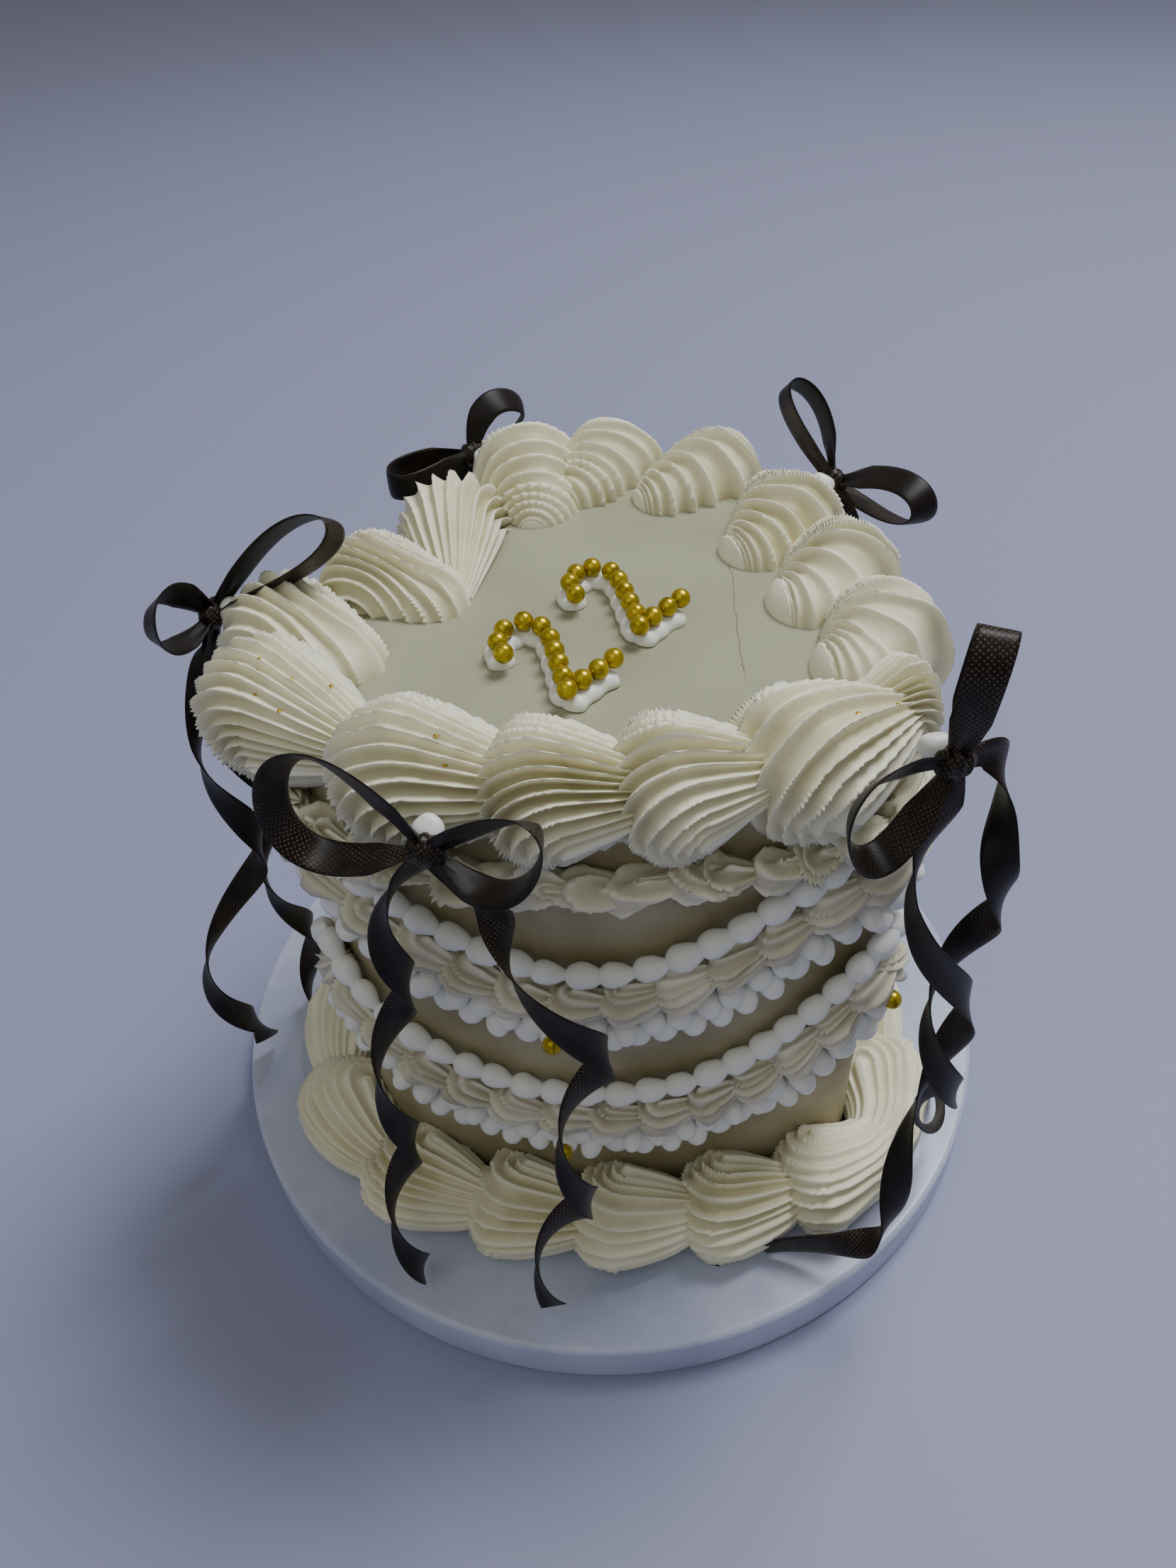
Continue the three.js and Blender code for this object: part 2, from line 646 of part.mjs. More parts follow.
// A tail winds round its axis like a ribbon drawn over a blade, its face turned away from the axis
function tailSolid(knot, { axis, curl }, swell) {
  const line = new THREE.CatmullRomCurve3(axis.map((place) => fromKnot(knot, place)));
  const length = line.getLength();
  const shares = Array.from({ length: ribbon.tailSteps + 1 }, (_, i) => i / ribbon.tailSteps);
  const awayAt = (share) => {
    const angle = THREE.MathUtils.degToRad(curl.start + 360 * curl.turns * share);
    return knotDirection(knot, [Math.cos(angle), Math.sin(angle), 0]);
  };
  const placeAt = (share) => {
    const radius = curl.radius * Math.min(1, (length * share) / curlGrowth);
    return line.getPointAt(THREE.MathUtils.clamp(share, 0, 1)).addScaledVector(awayAt(share), radius);
  };
  const widthAt = (share) => placeAt(share + nudge).sub(placeAt(share - nudge)).cross(awayAt(share));
  return stripSolid(shares.map(placeAt), shares.map(widthAt), 1, swell);
}

// The knot is a small rounded pad that wraps the loops and tails
function knotSolid(knot, swell) {
  const pad = new THREE.IcosahedronGeometry(0.5);
  pad.scale(knotPad.width + 2 * swell, knotPad.depth + 2 * swell, knotPad.height + 2 * swell);
  const facing = knotDirection(knot, [0, 1, 0]);
  pad.rotateZ(Math.atan2(facing.y, facing.x) - Math.PI / 2);
  const place = fromKnot(knot, [0, 0, 0]);
  return solidOf(pad.translate(place.x, place.y, place.z));
}

// A bow's knot, loops and tails are one tied ribbon
function bowSolid({ knot, loops, tails }, swell) {
  const tied = loops.reduce((solid, loop) => solid.add(loopSolid(knot, loop, swell)), knotSolid(knot, swell));
  return tails.reduce((solid, tail) => solid.add(tailSolid(knot, tail, swell)), tied);
}

settle("cake_board", boardSolid, materials.board);
settle("cake_body", cakeSolid, materials.cakeIcing);

for (const [name, bow] of Object.entries(bows))
  settle("bow_" + name, (swell) => bowSolid(bow, swell), materials.ribbon);

// Each shell lies over the one behind it, so the shells nearest to the point come first
for (const [run, shells] of Object.entries(rimShells))
  for (let i = shells.length; i > 0; i--) {
    const name = "rim_shell_" + run + (shells.length > 1 ? "_" + i : "");
    settle(name, (swell) => rimShellSolid(shells[i - 1], swell), materials.shellIcing);
  }
for (const [run, side] of [
  ["front", 1],
  ["back", -1],
])
  for (let i = baseShells.perSide; i > 0; i--) {
    const head = side * (baseShells.first - (i - 1) * baseShells.pitch);
    settle("base_shell_" + run + "_" + i, (swell) => baseShellSolid(head, swell), materials.shellIcing);
  }

settle("ruffle", ruffleSolid, materials.shellIcing);
for (const [name, swag] of [
  ["upper", upperSwag],
  ["lower", lowerSwag],
]) {
  settle(name + "_beads", () => swagRow(swag, beadRow, 3, false), materials.whiteIcing);
  settle(name + "_small_shells", () => swagRow(swag, smallShellRow, 4, false), materials.creamIcing);
  settle(name + "_drops", () => dropsWithPearls(swag), materials.whiteIcing);
}
digitCorners.forEach((corner, i) => settle("digit_" + (i + 1), () => digitSolid(corner), materials.pearl));
for (const [name, { knot }] of Object.entries(bows)) {
  const dot = (swell) => ball(bowDot.radius + swell, fromKnot(knot, bowDot.place));
  settle("bow_dot_" + name, dot, materials.whiteIcing);
}

export default cakeModel;
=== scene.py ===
import math

import bpy
import numpy as np
from mathutils import Matrix, Vector


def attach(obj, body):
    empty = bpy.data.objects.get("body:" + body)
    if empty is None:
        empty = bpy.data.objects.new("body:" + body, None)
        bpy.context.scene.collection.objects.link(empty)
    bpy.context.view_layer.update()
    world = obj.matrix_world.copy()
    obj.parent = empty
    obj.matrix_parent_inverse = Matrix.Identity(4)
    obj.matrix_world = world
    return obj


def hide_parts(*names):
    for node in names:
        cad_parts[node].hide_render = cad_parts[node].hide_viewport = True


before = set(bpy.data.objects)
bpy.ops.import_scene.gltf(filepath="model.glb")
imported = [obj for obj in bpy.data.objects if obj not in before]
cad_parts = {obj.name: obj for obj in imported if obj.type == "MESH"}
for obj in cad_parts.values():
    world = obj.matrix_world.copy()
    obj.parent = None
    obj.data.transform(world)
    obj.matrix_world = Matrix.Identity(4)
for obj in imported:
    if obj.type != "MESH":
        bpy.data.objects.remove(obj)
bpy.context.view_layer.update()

# A heart-shaped birthday cake on its round board, dressed for a close look.
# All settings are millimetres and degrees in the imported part's frame; addPiece turns them into metres.
metre = 0.001

# Small tools


# sRGB hex to linear light: a channel c is c / 12.92 up to 0.04045, then ((c + 0.055) / 1.055) ^ 2.4.
def colour(code):
    parts = [int(code[i:i + 2], 16) / 255 for i in (0, 2, 4)]
    return (*[c / 12.92 if c <= 0.04045 else ((c + 0.055) / 1.055) ** 2.4 for c in parts], 1.0)


# Sets a node's inputs, each to a value or linked to a socket.
def setInputs(node, inputs):
    for name, value in inputs.items():
        if isinstance(value, bpy.types.NodeSocket):
            node.id_data.links.new(value, node.inputs[name])
        else:
            node.inputs[name].default_value = value


# Adds a shader node with its settings and inputs, and gives back the output that is asked for.
def addNode(material, kind, inputs=None, output=0, **settings):
    made = material.node_tree.nodes.new("ShaderNode" + kind)
    for name, value in settings.items():
        setattr(made, name, value)
    setInputs(made, inputs or {})
    return made.outputs[output]


# A new material and its principled shader.
def newMaterial(name):
    material = bpy.data.materials.new(name)
    material.use_nodes = True
    return material, material.node_tree.nodes["Principled BSDF"]


# The scale of a pattern whose marks are about `size` millimetres wide: 1 over that size in metres.
def scaleOf(size):
    return 1 / (size * metre)


# What a cloudy pattern is set to: its place, its scale and how fine and rough its clouds are.
def clouds(place, size, detail=3.0, roughness=0.55):
    return {"Vector": place, "Scale": scaleOf(size), "Detail": detail, "Roughness": roughness}


# Smooth unevenness about -1 to 1: a sum of cosines with random ways and phases, each about `size` long.
def unevenness(places, size, seed, waves=10):
    chance = np.random.default_rng(seed)
    ways = chance.normal(size=(3, waves))
    ways *= 2 * np.pi / (size * chance.uniform(0.7, 1.4, waves) * np.linalg.norm(ways, axis=0))
    return np.cos(places @ ways + chance.uniform(0, 2 * np.pi, waves)).sum(-1) / math.sqrt(waves)


# Closed bodies through rings of places, copies x rings x points x 3: triangles between neighbouring rings, a
# fan from the middle of the first and of the last ring, and each copy turned so that its volume is positive.
def closedBodies(rings, hollow=None):
    copies, rows, points = rings.shape[:3]
    i, j = np.meshgrid(np.arange(rows - 1), np.arange(points), indexing="ij")
    a, b = i * points + j, i * points + (j + 1) % points
    c, d = b + points, a + points
    first, last = rows * points, rows * points + 1
    around = np.arange(points)
    onward = (around + 1) % points
    end = (rows - 1) * points
    triangles = np.concatenate([
        np.stack([a, b, c], -1).reshape(-1, 3),
        np.stack([a, c, d], -1).reshape(-1, 3),
        np.stack([np.full(points, first), onward, around], -1),
        np.stack([np.full(points, last), end + around, end + onward], -1),
    ])
    middles = np.stack([rings[:, 0].mean(1), rings[:, -1].mean(1)], 1)
    places = np.concatenate([rings.reshape(copies, -1, 3), middles], 1)
    corners = (places - places.mean(1, keepdims=True))[:, triangles]
    volume = np.einsum("ktx,ktx->k", corners[:, :, 0], np.cross(corners[:, :, 1], corners[:, :, 2]))
    turned = np.where(volume[:, None, None] > 0, triangles, triangles[:, ::-1])
    faces = turned + np.arange(copies)[:, None, None] * places.shape[1]
    shade = np.zeros((copies, rows, points)) if hollow is None else hollow
    ends = np.stack([shade[:, 0].mean(1), shade[:, -1].mean(1)], 1)
    return {"places": places.reshape(-1, 3), "faces": faces.reshape(-1, 3),
            "hollow": np.concatenate([shade.reshape(copies, -1), ends], 1).reshape(-1)}


# Puts bodies together as one smooth-shaded piece that rides on the cake and stands for CAD nodes.
def addPiece(name, bodies, material, nodes):
    starts = np.cumsum([0] + [len(body["places"]) for body in bodies[:-1]])
    places = np.concatenate([body["places"] for body in bodies]) * metre
    faces = np.concatenate([body["faces"] + start for body, start in zip(bodies, starts)])
    mesh = bpy.data.meshes.new(name)
    mesh.vertices.add(len(places))
    mesh.vertices.foreach_set("co", places.astype(np.float32).ravel())
    mesh.loops.add(faces.size)
    mesh.loops.foreach_set("vertex_index", faces.astype(np.int32).ravel())
    mesh.polygons.add(len(faces))
    mesh.polygons.foreach_set("loop_start", np.arange(0, faces.size, 3, dtype=np.int32))
    mesh.update(calc_edges=True)
    mesh.shade_smooth()
    for key in ("hollow", "across", "down"):
        if all(key in body for body in bodies):
            values = np.concatenate([body[key] for body in bodies]).astype(np.float32)
            mesh.attributes.new(key, "FLOAT", "POINT").data.foreach_set("value", values)
    mesh.materials.append(material)
    piece = bpy.data.objects.new(name, mesh)
    bpy.context.scene.collection.objects.link(piece)
    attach(piece, "root")
    if nodes:
        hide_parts(*nodes)
    return piece


# The heart's wall

heart = {"centre": (4.0, -12.0), "axisAngle": -37.8, "lobeRadius": 35.3, "lobeSpread": 26.5,
         "lobeSetback": 18.7, "sideRadius": 118.0, "tipReach": 67.2, "tipRounding": 9.0,
         "cleftRounding": 10.0}


# Where two circles meet, left of the line a to b: a share of the line by their radii, then square to it.
def circlesMeet(a, radiusA, b, radiusB):
    distance = np.linalg.norm(b - a)
    line = (b - a) / distance
    share = (radiusA ** 2 - radiusB ** 2 + distance ** 2) / (2 * distance)
    rise = math.sqrt(radiusA ** 2 - share ** 2)
    return a + line * share + np.array([-line[1], line[0]]) * rise


# The heart is seven arcs, clockwise from its point: half tip, side, lobe, cleft, lobe, side, half tip.
# Each is its middle, radius, first angle and sweep, negative where it turns clockwise.
def heartArcs():
    lobeRadius, sideRadius = heart["lobeRadius"], heart["sideRadius"]
    tipRounding, cleftRounding = heart["tipRounding"], heart["cleftRounding"]
    lobe = np.array([-heart["lobeSetback"], -heart["lobeSpread"]])
    side = circlesMeet(lobe, sideRadius - lobeRadius, np.array([heart["tipReach"], 0.0]), sideRadius)
    tip = np.array([side[0] + math.sqrt((sideRadius - tipRounding) ** 2 - side[1] ** 2), 0.0])
    reach = math.sqrt((lobeRadius + cleftRounding) ** 2 - lobe[1] ** 2)
    cleft = np.array([lobe[0] - reach, 0.0])
    bearing = lambda a, b: math.atan2(b[1] - a[1], b[0] - a[0])
    tipEnd, sideEnd = bearing(side, tip), bearing(side, lobe)
    lobeEnd, cleftStart = bearing(lobe, cleft), bearing(cleft, lobe)
    clockwise = lambda start, end: -((start - end) % (2 * math.pi))
    mirror = np.array([1.0, -1.0])
    return [
        (tip, tipRounding, 0.0, clockwise(0, tipEnd)),
        (side, sideRadius, tipEnd, clockwise(tipEnd, sideEnd)),
        (lobe, lobeRadius, sideEnd, clockwise(sideEnd, lobeEnd)),
        (cleft, cleftRounding, cleftStart, (-2 * cleftStart) % (2 * math.pi)),
        (lobe * mirror, lobeRadius, -lobeEnd, clockwise(-lobeEnd, -sideEnd)),
        (side * mirror, sideRadius, -sideEnd, clockwise(-sideEnd, -tipEnd)),
        (tip, tipRounding, -tipEnd, clockwise(-tipEnd, 0)),
    ]


arcMiddle, arcRadius, arcStart, arcSweep = [np.array(values) for values in zip(*heartArcs())]
arcEnd = np.cumsum(arcRadius * np.abs(arcSweep))
arcBegin = np.concatenate([[0.0], arcEnd[:-1]])
wallLength = arcEnd[-1]


# From the heart's own directions, down its axis and across it, to the board's.
def fromHeart(down, across, height):
    angle = math.radians(heart["axisAngle"])
    x = heart["centre"][0] + down * math.cos(angle) - across * math.sin(angle)
    y = heart["centre"][1] + down * math.sin(angle) + across * math.cos(angle)
    return np.stack(np.broadcast_arrays(x, y, height), -1)


# A place by its distance along the wall, positive along the front from the point, moved out and up: on its
# arc the angle is start + sweep direction x distance / radius.
def onWall(along, out=0.0, height=0.0):
    travelled = np.mod(along, wallLength)
    arc = np.minimum(np.searchsorted(arcEnd, travelled, side="right"), len(arcEnd) - 1)
    turn = np.sign(arcSweep[arc])
    angle = arcStart[arc] + turn * (travelled - arcBegin[arc]) / arcRadius[arc]
    reach = arcRadius[arc] - turn * out
    down = arcMiddle[arc, 0] + reach * np.cos(angle)
    across = arcMiddle[arc, 1] + reach * np.sin(angle)
    return fromHeart(down, across, height)


# The level direction square to the wall.
def outwards(along):
    return onWall(along, 1.0) - onWall(along, 0.0)


upwards = np.array([0.0, 0.0, 1.0])

# Materials

icingLook = {"cloud": 18.0, "bias": -0.02, "deepest": 0.7, "lump": 7.0, "lumpDepth": 0.2, "grain": 0.9,
             "grainDepth": 0.06, "scatter": 1.4, "scatterShare": 0.12, "scatterColour": (1.0, 0.8, 0.45)}


# Buttercream, piped: soft light inside it, painted shade in its hollows (a darker, warmer colour the deeper a
# place lies between crests), a fine grain and faint lumps, so that it looks whipped and a little greasy.
def icingMaterial(name, crest, paintedShade, roughness=0.5, grain=1.0):
    material, shader = newMaterial(name)
    place = addNode(material, "TexCoord", output="Object")
    hollow = addNode(material, "Attribute", output="Fac", attribute_name="hollow")
    cloud = addNode(material, "TexNoise", clouds(place, icingLook["cloud"]))
    share = addNode(material, "Math", {0: hollow, 1: cloud, 2: icingLook["bias"]}, operation="MULTIPLY_ADD")
    shadeShare = addNode(material, "MapRange", {"Value": share, "From Max": icingLook["deepest"]})
    # Painted shade: the deeper a place lies in a hollow, the more the shade colour takes over from the crest
    # colour.
    base = addNode(material, "Mix", {0: shadeShare, 6: colour(crest), 7: colour(paintedShade)}, 2, data_type="RGBA")
    lumps = addNode(material, "TexNoise", clouds(place, icingLook["lump"]))
    lumpy = addNode(material, "Bump", {"Height": lumps, "Distance": icingLook["lumpDepth"] * grain * metre})
    grains = addNode(material, "TexNoise", clouds(place, icingLook["grain"], 4.0))
    grainy = addNode(material, "Bump", {"Height": grains, "Normal": lumpy,
                                        "Distance": icingLook["grainDepth"] * grain * metre})
    setInputs(shader, {"Base Color": base, "Roughness": roughness, "Normal": grainy,
                       "Subsurface Weight": icingLook["scatterShare"],
                       "Subsurface Radius": icingLook["scatterColour"],
                       "Subsurface Scale": icingLook["scatter"] * metre})
    return material


crack = {"x": 30.1, "slant": 0.063, "middle": -13.4, "near": -37.0, "far": 11.0, "wobble": 3.2, "wave": 7.0,
         "half": 0.16, "fade": 4.0}


# The share of a hairline crack in the top: how near a place is to the line x = x0 + slant (y - y0), which
# noise pushes to and fro, between its two ends.
def crackShare(material, place, onTop):
    sidestep = addNode(material, "VectorMath", {0: place, 1: (1.0, -crack["slant"], 0.0)}, "Value",
                       operation="DOT_PRODUCT")
    push = addNode(material, "TexNoise", clouds(place, crack["wave"], 4.0))
    pushed = addNode(material, "Math", {0: push, 1: -crack["wobble"] * metre, 2: sidestep},
                     operation="MULTIPLY_ADD")
    middle = (crack["x"] - crack["slant"] * crack["middle"] - 0.5 * crack["wobble"]) * metre
    aside = addNode(material, "Math", {0: pushed, 1: middle}, operation="SUBTRACT")
    away = addNode(material, "Math", {0: aside}, operation="ABSOLUTE")
    line = addNode(material, "MapRange", {"Value": away, "From Min": crack["half"] * metre,
                                          "From Max": 0.3 * crack["half"] * metre})
    along = addNode(material, "SeparateXYZ", {"Vector": place}, "Y")
    near = addNode(material, "MapRange", {"Value": along, "From Min": crack["near"] * metre,
                                          "From Max": (crack["near"] + crack["fade"]) * metre})
    far = addNode(material, "MapRange", {"Value": along, "From Min": crack["far"] * metre,
                                         "From Max": (crack["far"] - crack["fade"]) * metre})
    between = addNode(material, "Math", {0: near, 1: far}, operation="MULTIPLY")
    shown = addNode(material, "Math", {0: line, 1: onTop}, operation="MULTIPLY")
    return addNode(material, "Math", {0: shown, 1: between}, operation="MULTIPLY")


smoothLook = {"wall": ("b2aa8c", "8e8360"), "wallCloud": 22.0, "top": ("a7a993", "9b9c81"), "topCloud": 30.0,
              "topFrom": 146.2, "topTo": 147.4, "speck": "a8915a", "speckPitch": 9.0, "crack": "6f6a54",
              "stroke": 14.0, "strokeDepth": 0.25, "grain": 1.2, "grainDepth": 0.02, "scatter": 1.2}


# Buttercream, smoothed with a palette knife: slow changes from ivory grey to tan, long level strokes and a
# few tiny specks.
def smoothIcingMaterial():
    material, shader = newMaterial("smoothed buttercream")
    place = addNode(material, "TexCoord", output="Object")
    height = addNode(material, "SeparateXYZ", {"Vector": place}, "Z")
    onTop = addNode(material, "MapRange", {"Value": height, "From Min": smoothLook["topFrom"] * metre,
                                           "From Max": smoothLook["topTo"] * metre})
    wallCloud = addNode(material, "TexNoise", clouds(place, smoothLook["wallCloud"], 4.0))
    wallShare = addNode(material, "MapRange", {"Value": wallCloud, "From Min": 0.35, "From Max": 0.7})
    light, dark = [colour(code) for code in smoothLook["wall"]]
    wall = addNode(material, "Mix", {0: wallShare, 6: light, 7: dark}, 2, data_type="RGBA")
    topCloud = addNode(material, "TexNoise", clouds(place, smoothLook["topCloud"]))
    topShare = addNode(material, "MapRange", {"Value": topCloud, "From Min": 0.3, "From Max": 0.75})
    light, dark = [colour(code) for code in smoothLook["top"]]
    top = addNode(material, "Mix", {0: topShare, 6: light, 7: dark}, 2, data_type="RGBA")
    both = addNode(material, "Mix", {0: onTop, 6: wall, 7: top}, 2, data_type="RGBA")
    speck = addNode(material, "TexVoronoi", {"Vector": place, "Scale": scaleOf(smoothLook["speckPitch"])})
    near = addNode(material, "MapRange", {"Value": speck, "From Min": 0.035, "From Max": 0.02})
    dusted = addNode(material, "Mix", {0: near, 6: both, 7: colour(smoothLook["speck"])}, 2, data_type="RGBA")
    cracked = addNode(material, "Mix", {0: crackShare(material, place, onTop), 6: dusted,
                                        7: colour(smoothLook["crack"])}, 2, data_type="RGBA")
    stretched = addNode(material, "Mapping", {"Vector": place, "Scale": (1.0, 1.0, 5.0)})
    strokes = addNode(material, "TexNoise", {"Vector": stretched, "Scale": scaleOf(smoothLook["stroke"]),
                                             "Detail": 4.0})
    stroked = addNode(material, "Bump", {"Height": strokes, "Distance": smoothLook["strokeDepth"] * metre})
    grains = addNode(material, "TexNoise", clouds(place, smoothLook["grain"]))
    grainy = addNode(material, "Bump", {"Height": grains, "Normal": stroked,
                                        "Distance": smoothLook["grainDepth"] * metre})
    setInputs(shader, {"Base Color": cracked, "Roughness": 0.48, "Normal": grainy, "Subsurface Weight": 0.25,
                       "Subsurface Radius": icingLook["scatterColour"],
                       "Subsurface Scale": smoothLook["scatter"] * metre})
    return material


boardLook = {"paper": "bfc6de", "cloud": "abb3cf", "cloudSize": 26.0, "dimple": 5.0, "dimpleDepth": 0.03}


# Coated paper over the cake board: bluish white with faint grey clouds and a soft gloss.
def boardMaterial():
    material, shader = newMaterial("coated board paper")
    place = addNode(material, "TexCoord", output="Object")
    greys = addNode(material, "TexNoise", clouds(place, boardLook["cloudSize"], 5.0, 0.6))
    share = addNode(material, "MapRange", {"Value": greys, "From Min": 0.42, "From Max": 0.7})
    paper, cloud = colour(boardLook["paper"]), colour(boardLook["cloud"])
    base = addNode(material, "Mix", {0: share, 6: paper, 7: cloud}, 2, data_type="RGBA")
    dimples = addNode(material, "TexNoise", clouds(place, boardLook["dimple"]))
    dimpled = addNode(material, "Bump", {"Height": dimples, "Distance": boardLook["dimpleDepth"] * metre})
    setInputs(shader, {"Base Color": base, "Roughness": 0.32, "Normal": dimpled})
    return material


pearlLook = {"gold": "c9b02a", "worn": "8c7a12", "blotch": 1.6, "grain": 0.9, "grainDepth": 0.03}


# Sugar pearls rolled in gold lustre dust: a metal that is a little rough and blotchy.
def pearlMaterial():
    material, shader = newMaterial("gold lustre dust")
    place = addNode(material, "TexCoord", output="Object")
    blotches = addNode(material, "TexNoise", clouds(place, pearlLook["blotch"]))
    share = addNode(material, "MapRange", {"Value": blotches, "From Min": 0.4, "From Max": 0.7})
    gold, worn = colour(pearlLook["gold"]), colour(pearlLook["worn"])
    base = addNode(material, "Mix", {0: share, 6: gold, 7: worn}, 2, data_type="RGBA")
    grains = addNode(material, "TexNoise", clouds(place, pearlLook["grain"]))
    grainy = addNode(material, "Bump", {"Height": grains, "Distance": pearlLook["grainDepth"] * metre})
    setInputs(shader, {"Base Color": base, "Metallic": 0.7, "Roughness": 0.3, "Normal": grainy})
    return material


leafLook = {"gold": "cfa43a", "crumple": 0.8, "crumpleDepth": 0.08}


# Gold leaf: thin bright metal, crumpled.
def leafMaterial():
    material, shader = newMaterial("gold leaf")
    place = addNode(material, "TexCoord", output="Object")
    crumples = addNode(material, "TexNoise", clouds(place, leafLook["crumple"]))
    crumpled = addNode(material, "Bump", {"Height": crumples, "Distance": leafLook["crumpleDepth"] * metre})
    setInputs(shader, {"Base Color": colour(leafLook["gold"]), "Metallic": 0.9, "Roughness": 0.35,
                       "Normal": crumpled})
    return material


ribbonLook = {"satin": "120a06", "thread": "66503c", "threadPitch": 0.75, "threadTurn": 32, "patch": 6.0,
              "ridgeDepth": 0.02}


# Woven satin ribbon, nearly black brown. One face is smooth with a silky sheen; the other shows its weave as
# rows of light dots (drawn 0.75 mm apart, coarser than the real threads, so that they can be seen).
def ribbonMaterial():
    material, shader = newMaterial("dark woven satin")
    place = addNode(material, "TexCoord", output="Object")
    across = addNode(material, "Attribute", output="Fac", attribute_name="across")
    down = addNode(material, "Attribute", output="Fac", attribute_name="down")
    woven = addNode(material, "MapRange", {"Value": across, "From Min": 9.0, "From Max": 11.0})
    flat = addNode(material, "CombineXYZ", {"X": across, "Y": down})
    slanted = addNode(material, "Mapping",
                      {"Vector": flat, "Rotation": (0, 0, math.radians(ribbonLook["threadTurn"]))})
    threads = addNode(material, "TexVoronoi", {"Vector": slanted, "Scale": 1 / ribbonLook["threadPitch"],
                                               "Randomness": 0.25}, voronoi_dimensions="2D")
    dot = addNode(material, "MapRange", {"Value": threads, "From Min": 0.3, "From Max": 0.16})
    patches = addNode(material, "TexNoise", clouds(place, ribbonLook["patch"]))
    patch = addNode(material, "MapRange", {"Value": patches, "From Min": 0.38, "From Max": 0.62})
    shown = addNode(material, "Math", {0: dot, 1: woven}, operation="MULTIPLY")
    lit = addNode(material, "Math", {0: shown, 1: patch}, operation="MULTIPLY")
    satinColour, threadColour = colour(ribbonLook["satin"]), colour(ribbonLook["thread"])
    base = addNode(material, "Mix", {0: lit, 6: satinColour, 7: threadColour}, 2, data_type="RGBA")
    ridges = addNode(material, "TexWave", {"Vector": flat, "Scale": 1.1, "Distortion": 0.6}, "Fac")
    ridged = addNode(material, "Bump", {"Height": ridges, "Distance": ribbonLook["ridgeDepth"] * metre})
    setInputs(shader, {"Base Color": base, "Roughness": 0.4, "Specular IOR Level": 0.28, "Anisotropic": 0.5,
                       "Sheen Weight": 0.05, "Normal": ridged})
    return material


boardCover = boardMaterial()
smoothIcing = smoothIcingMaterial()
# Each piped icing gets its colour on the crests and the painted shade of its hollows; the squiggles' painted
# shade is the darkest.
shellIcing = icingMaterial("ivory buttercream", "fbf9e2", "b3aa7a")
squiggleIcing = icingMaterial("ivory buttercream squiggles", "fffde8", "877d54")
creamIcing = icingMaterial("cream buttercream", "f0ecd9", "9f9474")
whiteIcing = icingMaterial("white buttercream", "f1f3ee", "cfd2c6", roughness=0.35, grain=0.4)
pearlGold = pearlMaterial()
goldLeaf = leafMaterial()
satin = ribbonMaterial()
print("materials made")

# Board and smoothed cake

board = {"radius": 101.6, "thickness": 12.7, "edge": 1.5, "sides": 256, "roundSteps": 6}


# The board turns a profile round: in from nothing, a quarter circle at either rim, and in again.
def boardBody():
    radius, thickness, edge = board["radius"], board["thickness"], board["edge"]
    bend = np.radians(np.linspace(0, 90, board["roundSteps"]))
    low = np.stack([radius - edge + edge * np.sin(bend), edge - edge * np.cos(bend)], -1)
    high = np.stack([radius - edge + edge * np.cos(bend), thickness - edge + edge * np.sin(bend)], -1)
    flat = np.linspace(4, radius - edge - 0.5, 12)
    bottom = np.stack([flat, 0 * flat], -1)
    top = np.stack([flat[::-1], 0 * flat + thickness], -1)
    profile = np.concatenate([bottom, low, high, top])
    turn = np.linspace(0, 2 * np.pi, board["sides"], endpoint=False)
    rings = np.stack([profile[:, :1] * np.cos(turn), profile[:, :1] * np.sin(turn),
                      profile[:, 1:] + 0 * turn], -1)
    return closedBodies(rings[None])


cake = {"floor": 13.0, "top": 147.9, "edge": 2.5, "alongSteps": 480, "wallSteps": 48, "edgeSteps": 8,
        "topSteps": 36, "middle": 5.0, "wallWave": 0.3, "topWave": 0.18}


# The cake is the heart carried up: wall, a quarter round edge, then rings that shrink to the heart's middle.
# The knife left the wall and top a little wavy.
def cakeBody():
    along = np.linspace(0, wallLength, cake["alongSteps"], endpoint=False)
    edge, top = cake["edge"], cake["top"]
    rise = np.linspace(cake["floor"], top - edge, cake["wallSteps"])
    bend = np.radians(np.linspace(0, 90, cake["edgeSteps"] + 1)[1:])
    inward = 1 - np.linspace(0, 1, cake["topSteps"] + 1)[1:-1]
    out = np.concatenate([0 * rise, -edge + edge * np.cos(bend), -edge + 0 * inward])
    height = np.concatenate([rise, top - edge + edge * np.sin(bend), top + 0 * inward])
    share = np.concatenate([0 * rise + 1, 0 * bend + 1, inward])
    rings = onWall(along[None, :], out[:, None], height[:, None])
    wave = unevenness(rings * np.array([1, 1, 0.6]), 26, 3)
    rings += outwards(along)[None] * (wave * cake["wallWave"] * (share[:, None] == 1))[..., None]
    middle = fromHeart(cake["middle"], 0.0, top)
    level = np.array([1.0, 1.0, 0.0])
    rings += (middle - rings) * level * (1 - share[:, None, None])
    onTop = (height > top - 0.01)[:, None]
    rings[..., 2] += cake["topWave"] * (unevenness(rings, 34, 4) - 1) * onTop
    return closedBodies(rings[None])


addPiece("board", [boardBody()], boardCover, ["cake_board"])
addPiece("smoothedCake", [cakeBody()], smoothIcing, ["cake_body"])
print("board and cake made")

# Piped shells

fattestShare = 0.34  # of a shell's length, from its head


# The radius along a shell: a quarter circle up to the fattest share, then 1 - (1 - tail) x taper ^ 1.4.
def shellRadius(share, tailShare):
    head = np.sqrt(np.clip(1 - (1 - share / fattestShare) ** 2, 0, 1))
    taper = np.clip((share - fattestShare) / (1 - fattestShare), 0, 1)
    return np.where(share < fattestShare, head, 1 - (1 - tailShare) * taper ** 1.4)


